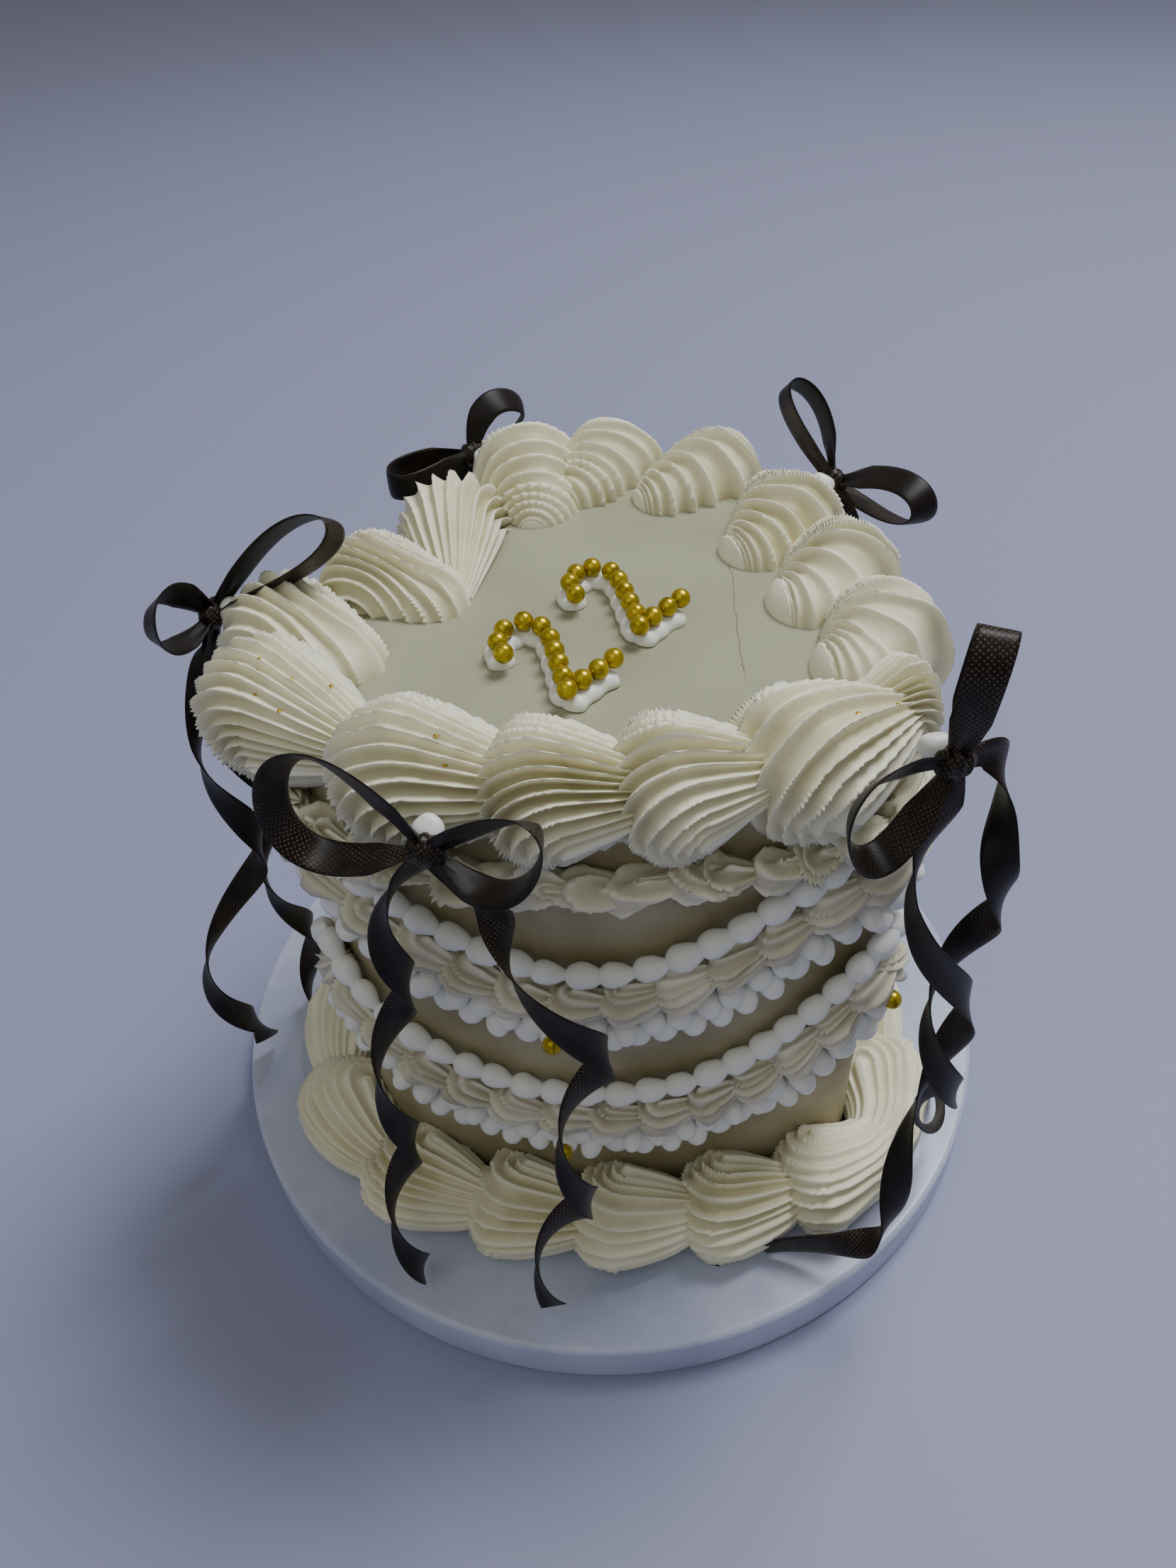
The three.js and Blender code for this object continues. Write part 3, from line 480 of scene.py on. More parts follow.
# A setting of a form for each of its copies, as copies x 1 x 1, or 0 where the form doesn't state it.
def perCopy(form, key):
    count = len(form["length"])
    return np.reshape(np.asarray(form.get(key, 0.0), float) * np.ones(count), (count, 1, 1))


# The smooth body of a piped shell as shares of its length and places in its own directions: back from the
# head, to the side, up. Its rings are ellipses of the shell's radius, closest at the head, and a quarter round
# cap closes the tail.
def shellOutline(form):
    length, width, rise = [perCopy(form, key) for key in ("length", "width", "rise")]
    rows, points = form["grid"]
    tailShare = form["tailShare"]
    bend = np.linspace(0.06, np.pi / 2, rows // 3)
    behind = np.linspace(fattestShare, 1, rows - rows // 3)[1:]
    shares = np.concatenate([fattestShare * (1 - np.cos(bend)), behind])
    share = np.broadcast_to(shares[None, :, None], (len(length), len(shares), 1))
    size = shellRadius(share, tailShare)
    cap = np.radians(np.linspace(0, 84, form.get("capRows", 7))[1:])[None, :, None]
    share = np.concatenate([share, 1 + tailShare * width / length * np.sin(cap)], 1)
    size = np.concatenate([size, tailShare * np.cos(cap) * np.ones((len(length), 1, 1))], 1)
    turn = np.linspace(0, 2 * np.pi, points, endpoint=False)[None, None, :]
    side, up = width * size * np.cos(turn), rise * size * np.sin(turn)
    return share, share * length + 0 * turn, side, np.where(up < 0, up * form.get("heel", 1.0), up)


# Crests leave the tail, run over the dome, wrap round the head and come back below: a crest keeps the angle
# atan2(pole way, hypot(other way, way past the hinge)), where the two poles are turns given in `poles`,
# `slant` leans the crests aside and `both` wraps them round the tail's end too. With `gather` the crests lie
# across the shell instead: planes square to its axis, tilted so that they gather on one side, and closer to
# each other at the tail's end, where they are nested rings.
def crestAngle(form, back, side, up):
    length, width = perCopy(form, "length"), perCopy(form, "width")
    if "gather" in form:
        overall = length + form["tailShare"] * width
        plane = (2 * back / overall - 1) / (1 + perCopy(form, "gather") * side / width)
        angle = np.pi / 2 - np.arccos(np.clip(plane, -0.999, 0.999))
        return angle, -(0.5 - angle / np.pi) ** 0.7
    poles = (np.radians(form["poles"]) * np.ones((len(length), 1)))[..., None, None]
    first, second = poles[:, 0], poles[:, 1]
    slid = side + perCopy(form, "slant") * (length - back)
    past = np.mod(np.arctan2(up, slid) - first, 2 * np.pi)
    shown = np.mod(second - first, 2 * np.pi)
    wound = np.where(past < shown, np.pi * past / shown, np.pi + np.pi * (past - shown) / (2 * np.pi - shown))
    reach = np.hypot(up, slid)
    beyond = back - perCopy(form, "hinge") * length
    beyond = beyond if form.get("both") else np.minimum(beyond, 0)
    angle = np.arctan2(reach * np.cos(wound), np.hypot(reach * np.sin(wound), beyond))
    return angle, angle / np.pi


# Piped shells: between crests the smooth body sinks towards its axis by depth x sin(pi f) ^ 0.8, f being the
# share from crest to crest, bent by `lean` so that one flank is steeper. Chance sways the crests, makes their
# hollows uneven and gives the body lumps.
def shellForms(form, seed):
    share, back, side, up = shellOutline(form)
    angle, crestShare = crestAngle(form, back, side, up)
    phase = np.random.default_rng(seed).uniform(0, 1, (len(share), 1, 1))
    sway = 0.22 * np.sin(3.1 * angle + 6.3 * phase) + 0.12 * np.sin(7 * angle + 11 * phase)
    twisted = perCopy(form, "twist") * (share - fattestShare)
    steps = perCopy(form, "crests") * crestShare + twisted + sway + phase
    whole = np.floor(steps)
    fraction = (steps - whole) ** form["lean"]
    uneven = 0.88 + 0.22 * np.sin(whole * 12.9 + 40 * phase)
    edge = np.clip((np.pi / 2 - np.abs(angle)) / 0.22, 0, 1)
    # The hollow share also sets how much painted shade the icing shows there.
    hollow = np.sin(np.pi * fraction) ** 0.8 * uneven * edge * edge * (3 - 2 * edge)

    core = np.maximum(back, fattestShare * perCopy(form, "length"))
    shrink = 1 - perCopy(form, "depth") * hollow
    places = np.stack([back - core, side, up], -1)
    lumps = unevenness(places + 50 * phase[..., None], 0.8 * float(perCopy(form, "width").mean()), seed)
    places = places * (shrink * (1 + form["wave"] * lumps))[..., None]
    places[..., 0] += core
    return places, np.clip(hollow, 0, 1)


rimShell = {"height": 146.4, "radius": 13.5, "tailShare": 0.3, "grid": (104, 320), "crests": 17.0,
            "depth": 0.24, "hinge": 0.5, "poleTilt": 25, "heel": 1.1, "lean": 0.7, "wave": 0.03}
# Two more kinds of it: a loaf whose crests wrap both of its ends, and one with its crests across it.
loafShell = {"capRows": 20, "crests": 15.0, "hinge": 0.55, "both": True, "tailShare": 0.72, "depth": 0.24}
acrossShell = {"grid": (150, 140), "capRows": 30, "crests": 13.0, "tailShare": 0.74, "depth": 0.21}
# Each shell is at the distance along the wall of its fattest part, so far out, with its tail turned in by an
# angle from the way along the wall to the point. `short` makes it a loaf, whose round end makes up that much
# of its length, and `gather` lays its crests across it.
rimShells = {
    "rim_shell_front_": [
        {"at": (177, -2, 113), "length": 32, "short": 7}, {"at": (153, 1, 65), "length": 37, "short": 7},
        {"at": (130, 1, 33), "length": 42, "radius": 14.5, "slant": 0.04, "crests": 20},
        {"at": (94, -1, 6), "length": 41, "radius": 14.5, "slant": 0.1, "crests": 20},
        {"at": (69, 0, 5), "length": 33, "slant": 0.08, "crests": 19},
        {"at": (47, -1, 6), "length": 32, "slant": 0.05, "crests": 18},
        {"at": (22, -2, 14), "length": 42, "radius": 15, "tailShare": 0.16,
         "crests": 12.5, "hinge": 0.42, "twist": 0.8}],
    "rim_shell_back_": [
        {"at": (-150, 3, 110), "length": 36, "radius": 14.5, "gather": 0.2, "short": 7},
        {"at": (-130, 1, 112), "length": 30, "gather": 0.35, "short": 7},
        {"at": (-105, 3, 94), "length": 31, "gather": 0.4, "short": 7},
        {"at": (-78, 1, 60), "length": 31, "gather": 0.6, "short": 7},
        {"at": (-53, -1, 52), "length": 30, "gather": 0.85, "short": 7, "crests": 11},
        {"at": (-28, -1, 42), "length": 28, "gather": 0.85, "short": 7, "crests": 11},
        {"at": (-9, -2, 60), "length": 18, "radius": 10}],
    "rim_shell_cleft": [{"at": (-179, 1, 161), "length": 50, "radius": 14, "tailShare": 0.2}],
}

leafFlake = {"radius": 0.5, "perShell": 6, "near": 0.35, "far": 0.75, "low": 40, "high": 130,
             "shells": ("rim_shell_front_3", "rim_shell_front_4", "rim_shell_front_7")}


# Flakes of gold leaf lie where chance picks a ring between two shares of a shell and a turn between low and
# high: each is a ball pressed flat, of a random size.
def leafFlakes(rings, seed):
    chance = np.random.default_rng(seed)
    count, (rows, points) = leafFlake["perShell"], rings.shape[1:3]
    row = (chance.uniform(leafFlake["near"], leafFlake["far"], count) * rows).astype(int)
    point = (chance.uniform(leafFlake["low"], leafFlake["high"], count) / 360 * points).astype(int)
    radius = leafFlake["radius"] * chance.uniform(0.5, 1.2, count)
    return balls(rings[0, row, point], radius, (5, 6), 0.35)


# A sphere by its turns from pole to pole and around, drawn out or pressed flat by `stretch` along its poles.
def balls(centres, radius, grid=(16, 24), stretch=1.0):
    turn = np.linspace(0.1, np.pi - 0.1, grid[0])[None, :, None]
    around = np.linspace(0, 2 * np.pi, grid[1], endpoint=False)[None, None, :]
    form = np.stack(np.broadcast_arrays(np.sin(turn) * np.cos(around), np.sin(turn) * np.sin(around),
                                        stretch * np.cos(turn)), -1)
    return closedBodies(centres[:, None, None, :] + np.reshape(radius, (-1, 1, 1, 1)) * form)


# A rim shell's axis is straight: its tail points along the wall to the heart's point, turned in by its angle.
def rimShellBody(entry, seed):
    along, out, turn = entry["at"]
    angle = math.radians(turn)
    radius = entry.get("radius", rimShell["radius"])
    outward = outwards(along)
    toPoint = -np.sign(along) * np.cross(outward, upwards)
    travel = toPoint * math.cos(angle) - outward * math.sin(angle)
    sideways = np.cross(travel, upwards)
    outer = np.sign(sideways @ outward)
    tilt = rimShell["poleTilt"] * abs(sideways @ outward)
    poles = (-tilt, 190) if outer > 0 else (-10, 180 + tilt)
    kind = acrossShell if "gather" in entry else loafShell if "short" in entry else {}
    form = {**rimShell, **kind, **entry, "length": [entry["length"] - entry.get("short", 0)], "width": radius,
            "rise": radius, "poles": np.array([poles]), "slant": outer * entry.get("slant", 0)}
    if "gather" in entry:
        form["gather"] = entry["gather"] * np.sign(sideways @ toPoint)
    places, hollow = shellForms(form, seed)
    fattest = onWall(along, out, rimShell["height"])
    rings = (fattest + (places[..., :1] - fattestShare * entry["length"]) * travel
             + places[..., 1:2] * sideways + places[..., 2:] * upwards)
    return rings, hollow


for run, entries in rimShells.items():
    for number, entry in enumerate(entries, 1):
        node = run + str(number) if len(entries) > 1 else run
        rings, hollow = rimShellBody(entry, number + len(run))
        addPiece(node + "_piped", [closedBodies(rings, hollow)], shellIcing, [node])
        if node in leafFlake["shells"]:
            addPiece(node + "_leaf", [leafFlakes(rings, number)], goldLeaf, [node])
print("rim shells made")

baseShell = {"perSide": 8, "first": 184.0, "pitch": 22.9, "length": 30.0, "radius": 13.5, "out": 9.5,
             "height": 21.2, "tailShare": 0.36, "grid": (70, 168), "crests": 13.5, "depth": 0.2,
             "hinge": 0.45, "lean": 0.7, "wave": 0.05}


# A base shell bends with the wall, its tail to the heart's point, and is flat where it sits on the board.
def baseShellBody(head, seed):
    form = {**baseShell, "length": [baseShell["length"]], "width": baseShell["radius"],
            "rise": baseShell["radius"], "poles": np.array([[-75, 120]])}
    places, hollow = shellForms(form, seed)
    rings = onWall(head - np.sign(head) * places[..., 0], baseShell["out"] + places[..., 1],
                   np.maximum(baseShell["height"] + places[..., 2], board["thickness"] + 0.15))
    return closedBodies(rings, hollow)


for run, side in (("front", 1), ("back", -1)):
    for number in range(1, baseShell["perSide"] + 1):
        head = side * (baseShell["first"] - (number - 1) * baseShell["pitch"])
        node = f"base_shell_{run}_{number}"
        body = baseShellBody(head, 40 + number + 10 * side)
        addPiece(node + "_piped", [body], shellIcing, [node])
print("base shells made")

# Swags

swagPeaks = (0.0, 125.0)  # along the wall, on either side of the point; the third peak is at the cleft
swags = {"upper": {"low": 102.0, "peaks": (125.0, 124.0, 124.0), "smooth": True},
         "lower": {"low": 62.0, "peaks": (97.0, 90.0, 94.0), "smooth": False}}
rowBack = 0.9  # how far off the wall the rows begin


# The height of a swag's bead line: from peak to peak it hangs as a cosine if smooth, or as a parabola.
def swagHeight(swag, along):
    half = wallLength / 2
    distance = np.abs(np.mod(along + half, wallLength) - half)
    near = distance < swagPeaks[1]
    start, end = np.where(near, swagPeaks[0], swagPeaks[1]), np.where(near, swagPeaks[1], half)
    share = (distance - start) / (end - start) * 2 - 1
    low, middle, high = swag["peaks"]
    peak = np.where(share < 0, np.where(near, low, middle), np.where(near, middle, high))
    rise = (1 - np.cos(np.pi * share)) / 2 if swag["smooth"] else share ** 2
    return swag["low"] + (peak - swag["low"]) * rise


# Places at even steps along a swag's line: distance along the wall, height and slope.
def swagPlaces(swag, pitch):
    along = np.linspace(0, wallLength, 4001)
    height = swagHeight(swag, along)
    travelled = np.concatenate([[0], np.cumsum(np.hypot(np.diff(along), np.diff(height)))])
    count = round(travelled[-1] / pitch)
    at = np.interp((np.arange(count) + 0.5) / count * travelled[-1], travelled, along)
    return at, swagHeight(swag, at), swagHeight(swag, at + 0.5) - swagHeight(swag, at - 0.5)


# How much farther below a steep line a row hangs, so that its rows keep their distance.
def steepness(slope):
    return np.minimum(np.hypot(1, slope), 1.35)


# Puts small forms on the wall, turned by the slope of their line, their heads away from the heart's point.
def onRow(places, along, height, slope, out, centre):
    angle = np.arctan(slope)[:, None, None]
    away = np.where(np.mod(along, wallLength) < wallLength / 2, 1.0, -1.0)[:, None, None]
    forward = away * (np.reshape(centre, (-1, 1, 1)) - places[..., 0])
    return onWall(along[:, None, None] + forward * np.cos(angle) - places[..., 2] * np.sin(angle),
                  np.reshape(out, (-1, 1, 1)) + places[..., 1],
                  height[:, None, None] + forward * np.sin(angle) + places[..., 2] * np.cos(angle))


bead = {"pitch": 6.5, "length": 8.2, "radius": 3.15, "out": 2.6, "grid": (12, 14)}


# Beads are drops with a small tail: the radius is sin(t) of the turn t from head to tail, times
# 1 - 0.42 x ((1 - cos t) / 2) ^ 1.5, and the tail is drawn out.
def beadRow(swag, seed):
    at, height, slope = swagPlaces(swag, bead["pitch"])
    chance = np.random.default_rng(seed)
    count = len(at)
    size = chance.uniform(0.93, 1.07, (count, 1, 1))
    turn = np.linspace(0.12, np.pi - 0.1, bead["grid"][0])[None, :, None]
    around = np.linspace(0, 2 * np.pi, bead["grid"][1], endpoint=False)[None, None, :]
    drawn = ((1 - np.cos(turn)) / 2) ** 1.5
    radius = bead["radius"] * size * np.sin(turn) * (1 - 0.42 * drawn)
    back = bead["length"] / 2 * (1 - np.cos(turn)) * (1 - 0.06 * np.sin(turn)) * size + 0 * around
    places = np.stack(np.broadcast_arrays(back, radius * 0.98 * np.cos(around), radius * np.sin(around)), -1)
    lumps = unevenness(places + chance.uniform(0, 99, (count, 1, 1, 3)), 4, seed)
    places = places * (1 + 0.03 * lumps)[..., None]
    jitter = chance.uniform(-0.35, 0.35, count)
    rings = onRow(places, at + jitter, height + chance.uniform(-0.3, 0.3, count), slope,
                  rowBack + bead["out"], bead["radius"] * 1.05)
    return closedBodies(rings)


smallShell = {"pitch": 10.8, "middle": -9.0, "out": 1.3, "length": 15.0, "width": 6.2, "rise": 6.2,
              "tailShare": 0.34, "grid": (24, 64), "crests": 5.6, "depth": 0.34, "hinge": 0.45, "twist": 0.3,
              "lean": 0.85, "wave": 0.05}


# Small shells lie on their sides below the beads. Their poles face out, so that their crests are nested bows.
def smallShellRow(swag, seed):
    at, height, slope = swagPlaces(swag, smallShell["pitch"])
    chance = np.random.default_rng(seed)
    count = len(at)
    turned = chance.uniform(-12, 12, (count, 1))
    form = {**smallShell, "length": smallShell["length"] * chance.uniform(0.92, 1.08, count),
            "rise": smallShell["rise"] * chance.uniform(0.94, 1.06, count) * np.sqrt(steepness(slope)),
            "poles": np.array([[78.0, 262.0]]) + turned}
    places, hollow = shellForms(form, seed)
    rings = onRow(places, at, height + smallShell["middle"] * steepness(slope),
                  slope + chance.uniform(-0.12, 0.12, count), rowBack + smallShell["out"],
                  0.4 * smallShell["length"])
    return closedBodies(rings, hollow)


drop = {"pitch": 2.95, "top": -14.9, "step": 3.5, "radius": 3.05, "small": 0.9, "out": 0.9, "reach": 4.3,
        "hang": 1.05, "grid": (10, 14)}


# Drops are blunt dabs: their radius shrinks as (1 - share ^ 4) ^ 0.5 on the way from the wall out and down.
# Every other dab sits lower and is larger, like a tooth.
def dropRow(swag, seed):
    at, height, slope = swagPlaces(swag, drop["pitch"])
    chance = np.random.default_rng(seed)
    count = len(at)
    lower = np.arange(count) % 2
    share = np.sin(np.linspace(0, 1.5, drop["grid"][0]))[None, :, None]
    around = np.linspace(0, 2 * np.pi, drop["grid"][1], endpoint=False)[None, None, :]
    size = (chance.uniform(0.85, 1.1, count) * np.where(lower, 1, drop["small"]))[:, None, None]
    radius = drop["radius"] * size * (1 - share ** 4) ** 0.5
    droop = chance.uniform(0.5, 1.2, (count, 1, 1)) * share ** 2
    sway = chance.uniform(-0.6, 0.6, (count, 1, 1)) * share ** 2
    out = drop["reach"] * share / size ** 2 - 0.6
    up = drop["hang"] * radius * np.sin(around) - droop
    places = np.stack(np.broadcast_arrays(radius * np.cos(around) + sway, out, up), -1)
    below = (drop["top"] - drop["radius"] * 0.6 - drop["step"] * lower) * steepness(slope)
    at = at + chance.uniform(-0.4, 0.4, count)
    return closedBodies(onRow(places, at, height + below, 0 * slope, drop["out"], 0.0))


sidePearl = {"radius": 2.1, "out": 6.9, "drop": 18.7, "dot": 2.9}


# Gold pearls sit at the foot of each swag and, on the lower one, also under its peaks.
def pearlPlaces(name):
    half = wallLength / 2
    feet = [swagPeaks[1] / 2 + 7, (swagPeaks[1] + half) / 2]
    along = np.array(feet + [-foot for foot in feet] + ([1, -swagPeaks[1], half] if name == "lower" else []))
    return along, swagHeight(swags[name], along) - sidePearl["drop"]


for order, (name, swag) in enumerate(swags.items()):
    along, height = pearlPlaces(name)
    dots = balls(onWall(along, sidePearl["out"] - 3.0, height - 0.4), sidePearl["dot"])
    addPiece(name + "Beads", [beadRow(swag, 60 + order)], whiteIcing, [name + "_beads"])
    addPiece(name + "SmallShells", [smallShellRow(swag, 70 + order)], creamIcing, [name + "_small_shells"])
    addPiece(name + "Drops", [dropRow(swag, 80 + order), dots], whiteIcing, [name + "_drops"])
    pearls = balls(onWall(along, sidePearl["out"], height), sidePearl["radius"])
    addPiece(name + "Pearls", [pearls], pearlGold, [name + "_drops"])
print("swags made")

ruffle = {"pitch": 8.2, "height": 127.6, "overSwag": 7.5, "out": 4.0, "length": 14.0, "width": 6.2,
          "rise": 4.6, "tailShare": 0.4, "grid": (24, 60), "crests": 4.3, "depth": 0.55, "hinge": 0.6,
          "lean": 0.85, "wave": 0.13}


# The ruffle is a crowd of small uneven shells under the rim, each turned and sized by chance.
def ruffleBodies():
    count = round(wallLength / ruffle["pitch"])
    chance = np.random.default_rng(90)
    at = (np.arange(count) + chance.uniform(0.2, 0.8, count)) * wallLength / count
    clear = swagHeight(swags["upper"], at) + ruffle["overSwag"]
    form = {**ruffle, "length": ruffle["length"] * chance.uniform(0.75, 1.35, count),
            "rise": ruffle["rise"] * chance.uniform(0.8, 1.15, count),
            "width": ruffle["width"] * chance.uniform(0.85, 1.1, count),
            "twist": chance.uniform(-1.2, 1.6, count),
            "poles": np.array([[62.0, 245.0]]) + chance.uniform(-35, 35, (count, 1))}
    places, hollow = shellForms(form, 91)
    height = np.maximum(ruffle["height"] + chance.uniform(-1.3, 1.0, count), clear)
    rings = onRow(places, at, height, chance.uniform(-0.35, 0.35, count), ruffle["out"], 5.6)
    return closedBodies(rings, hollow)


addPiece("ruffleSquiggles", [ruffleBodies()], squiggleIcing, ["ruffle"])
print("ruffle made")

# Digits

digit = {"height": 22.5, "width": 14.0, "pearl": 4.0, "line": 5.4, "lineHeight": 2.4, "archPearls": 10,
         "footPearls": ((4.0, 0.3), (8.2, 0.8), (12.4, 1.3)), "corners": ((11.4, -28.6), (10.9, -4.1)),
         "foot": 147.9, "uneven": 0.22, "unevenHeight": 0.15}


# The figure two from its lower left corner, across and down: a smooth curve through seven places.
def digitLine():
    w, h = digit["width"], digit["height"]
    knots = np.array([(0.2 * w, -0.78 * h), (0.42 * w, -0.95 * h), (0.72 * w, -h), (0.98 * w, -0.9 * h),
                      (0.97 * w, -0.7 * h), (0.55 * w, -0.38 * h), (0, 0)])
    return smoothLine(knots, 200), np.array([(-1, 0), (0.9 * w, 0.06 * h)])


# A smooth line through places, by Catmull-Rom pieces between each pair, given at even steps of its length.
def smoothLine(knots, steps):
    padded = np.concatenate([[2 * knots[0] - knots[1]], knots, [2 * knots[-1] - knots[-2]]])
    a, b, c, d = padded[:-3, None], padded[1:-2, None], padded[2:-1, None], padded[3:, None]
    t = np.linspace(0, 1, 40, endpoint=False)[None, :, None]
    line = 0.5 * (2 * b + (c - a) * t + (2 * a - 5 * b + 4 * c - d) * t ** 2
                  + (3 * b - a - 3 * c + d) * t ** 3)
    return evenly(np.concatenate([line.reshape(-1, knots.shape[1]), knots[-1:]]), steps)


# Even steps along a line of places.
def evenly(line, steps):
    travelled = np.concatenate([[0], np.cumsum(np.linalg.norm(np.diff(line, axis=0), axis=1))])
    at = np.linspace(0, travelled[-1], steps)
    return np.stack([np.interp(at, travelled, line[:, k]) for k in range(line.shape[1])], -1)


# A piped line on the top: a low rounded section whose width swells and shrinks by chance, blunt at its ends.
def pipedLine(path, corner, seed):
    steps = 90
    line = evenly(path, steps)
    travel = np.gradient(line, axis=0)
    travel /= np.linalg.norm(travel, axis=1, keepdims=True)
    sideways = np.stack([-travel[:, 1], travel[:, 0]], -1)
    share = np.linspace(0, 1, steps)
    length = np.linalg.norm(np.diff(line, axis=0), axis=1).sum()
    ends = np.sqrt(np.clip(1 - np.clip(1 - np.minimum(share, 1 - share) * length / 2.6, 0, 1) ** 2, 0.02, 1))
    swell = 1 + 0.07 * np.sin(share * length * 1.25 + seed) + 0.1 * np.cos(2 * np.pi * share)
    half = digit["line"] / 2 * swell * ends
    turn = np.linspace(0, 2 * np.pi, 28, endpoint=False)
    flat = half[:, None] * np.cos(turn)
    lift = np.abs(np.sin(turn))
    rise = digit["lineHeight"] * ends[:, None] * np.where(np.sin(turn) > 0, lift ** 0.8, -0.12 * lift)
    at = line[:, None, :] + flat[..., None] * sideways[:, None, :]
    rings = fromHeart(corner[0] + at[..., 1], corner[1] + at[..., 0], digit["foot"] + 0.1 + rise)
    return closedBodies(rings[None])


for number, corner in enumerate(digit["corners"], 1):
    arch, stroke = digitLine()
    spots = np.concatenate([evenly(arch, digit["archPearls"]), digit["footPearls"]])
    chance = np.random.default_rng(number)
    spots = spots + chance.uniform(-digit["uneven"], digit["uneven"], spots.shape)
    height = digit["foot"] + digit["lineHeight"] + 0.42 * digit["pearl"]
    height = height + chance.uniform(-digit["unevenHeight"], digit["unevenHeight"], len(spots))
    centres = fromHeart(corner[0] + spots[:, 1], corner[1] + spots[:, 0], height)
    lines = [pipedLine(arch, corner, number), pipedLine(stroke, corner, number + 5)]
    addPiece(f"digitLine{number}", lines, whiteIcing, [f"digit_{number}"])
    pearls = balls(centres, digit["pearl"] / 2, (20, 32))
    addPiece(f"digitPearls{number}", [pearls], pearlGold, [f"digit_{number}"])
print("digits made")

# Ribbons

ribbon = {"width": 6.4, "thickness": 0.45, "loopSteps": 90, "tailSteps": 220, "pinchWidth": 0.45,
          "pinchReach": 9.0, "curlGrowth": 30.0, "inKnot": 0.015}
knotPad = {"width": 7.0, "depth": 5.2, "height": 6.0, "folds": 11, "foldDepth": 0.07}
bowDot = {"radius": 2.8, "place": (1, -4, 0.4), "lump": 7, "lumpDepth": 0.45}
# Each bow: its knot along the wall, out and up; loops by tip, belly and the tip of their width at either end;
# tails by an axis from the knot and their curl's start, turns and radius.
bows = {
    "point": {
        "knot": (6.3, 16.5, 155),
        "loops": [((-3, 0, 24), (2.8, 3, 0), (10, -10)), ((21, 3, -7), (2.5, 0, 8.2), (70, 0))],
        "tails": [
            ([(0, 0, 0), (1, 1, -20), (-1, 3, -40), (-8, 5, -62), (-9, 7, -88), (0, 9, -112), (11, 12, -128),
              (27, 4, -138)], (190, 2.2, 3.4)),
            ([(0, 0, 0), (-9, 1, -2), (-13, 3, -12), (-9, 4, -26), (-9, 4, -42), (-7, 6, -66), (-9, 6, -90),
              (-20, -2, -118), (-32, -20, -138)], (221, 2.9, 4))]},
    "front": {
        "knot": (83, 16.5, 146.6),
        "loops": [((24, 2, 10.5), (-3, 1, 11.5), (75, 0)), ((-21, 5, 6), (-2.5, 0, 8.5), (-50, 0))],
        "tails": [
            ([(0, 0, 0), (9, 0, -18), (11.5, 2, -38), (14, 4, -62), (16, 7, -88), (17, 10, -116),
              (19, 12, -131)], (262, 2.86, 3.2)),
            ([(0, 0, 0), (-13, 1, -20), (-22, 2, -36), (-26, 4, -50), (-24, 6, -68), (-21, 9, -92),
              (-18, 11, -108), (-17, 12, -121)], (135, 2.9, 4))]},
    "left": {
        "knot": (152, 16.5, 151),
        "loops": [((-17, 2, 8), (2, 0, 5), (60, 0)), ((8.5, -26, 19), (2, 5, 1.5), (0, 0))],
        "tails": [
            ([(0, 0, 0), (-9, 1, -10), (-11, 2, -28), (-10, 2, -48), (-12, 4, -66), (-22, 12, -89),
              (-21, 14, -112), (-14, 13, -133)], (-77, 2.36, 3.4)),
            ([(0, 0, 0), (-4, 1, -12), (-5, 2, -30), (-4, 1, -50), (-2, 3, -75), (4, 6, -100), (8, 9, -136)],
             (40, 2.2, 3))]},
    "back": {
        "knot": (-156, 16.5, 151),
        "loops": [((-24, 1, 0), (2, 5, 0), (0, 0)), ((14, 0, 9.5), (-5, 0, 3), (60, 20))],
        "tails": [
            ([(0, 0, 0), (-8, 1, -20), (-11, 2, -42), (-10, 4, -66), (-13, 7, -92), (-12, 10, -118),
              (-15, 13, -136)], (60, 2.4, 3.6)),
            ([(0, 0, 0), (8, 1, -18), (10, 2, -40), (12, 4, -64), (10, 6, -90), (13, 10, -116),
              (12, 13, -136)], (-60, 2.2, 3.6))]},
    "right": {
        "knot": (-81, 16.5, 152),
        "loops": [((-16, 0, 18), (1.5, 4, -1), (0, 0)), ((26, 3, 3), (-1, 0, 4.5), (40, 0))],
        "tails": [
            ([(0, 0, 0), (7, 1, -14), (10, 2, -36), (9, 4, -60), (12, 6, -86), (11, 10, -114),
              (14, 13, -137)], (80, 2.4, 3.6)),
            ([(0, 0, 0), (-7, 1, -20), (-10, 2, -42), (-9, 4, -66), (-12, 7, -92), (-11, 10, -118),
              (-14, 13, -137)], (-40, 2.3, 3.6))]},
}


# Vectors of length 1: each over its own length.
def unit(vectors):
    return vectors / np.linalg.norm(vectors, axis=-1, keepdims=True)


# From a bow's own directions, along the wall, out and up, to the board's.
def fromKnot(knot, places):
    outward = outwards(knot[0])
    return (onWall(knot[0], knot[1], knot[2]) + places[..., :1] * np.cross(outward, upwards)
            + places[..., 1:2] * outward + places[..., 2:] * upwards)


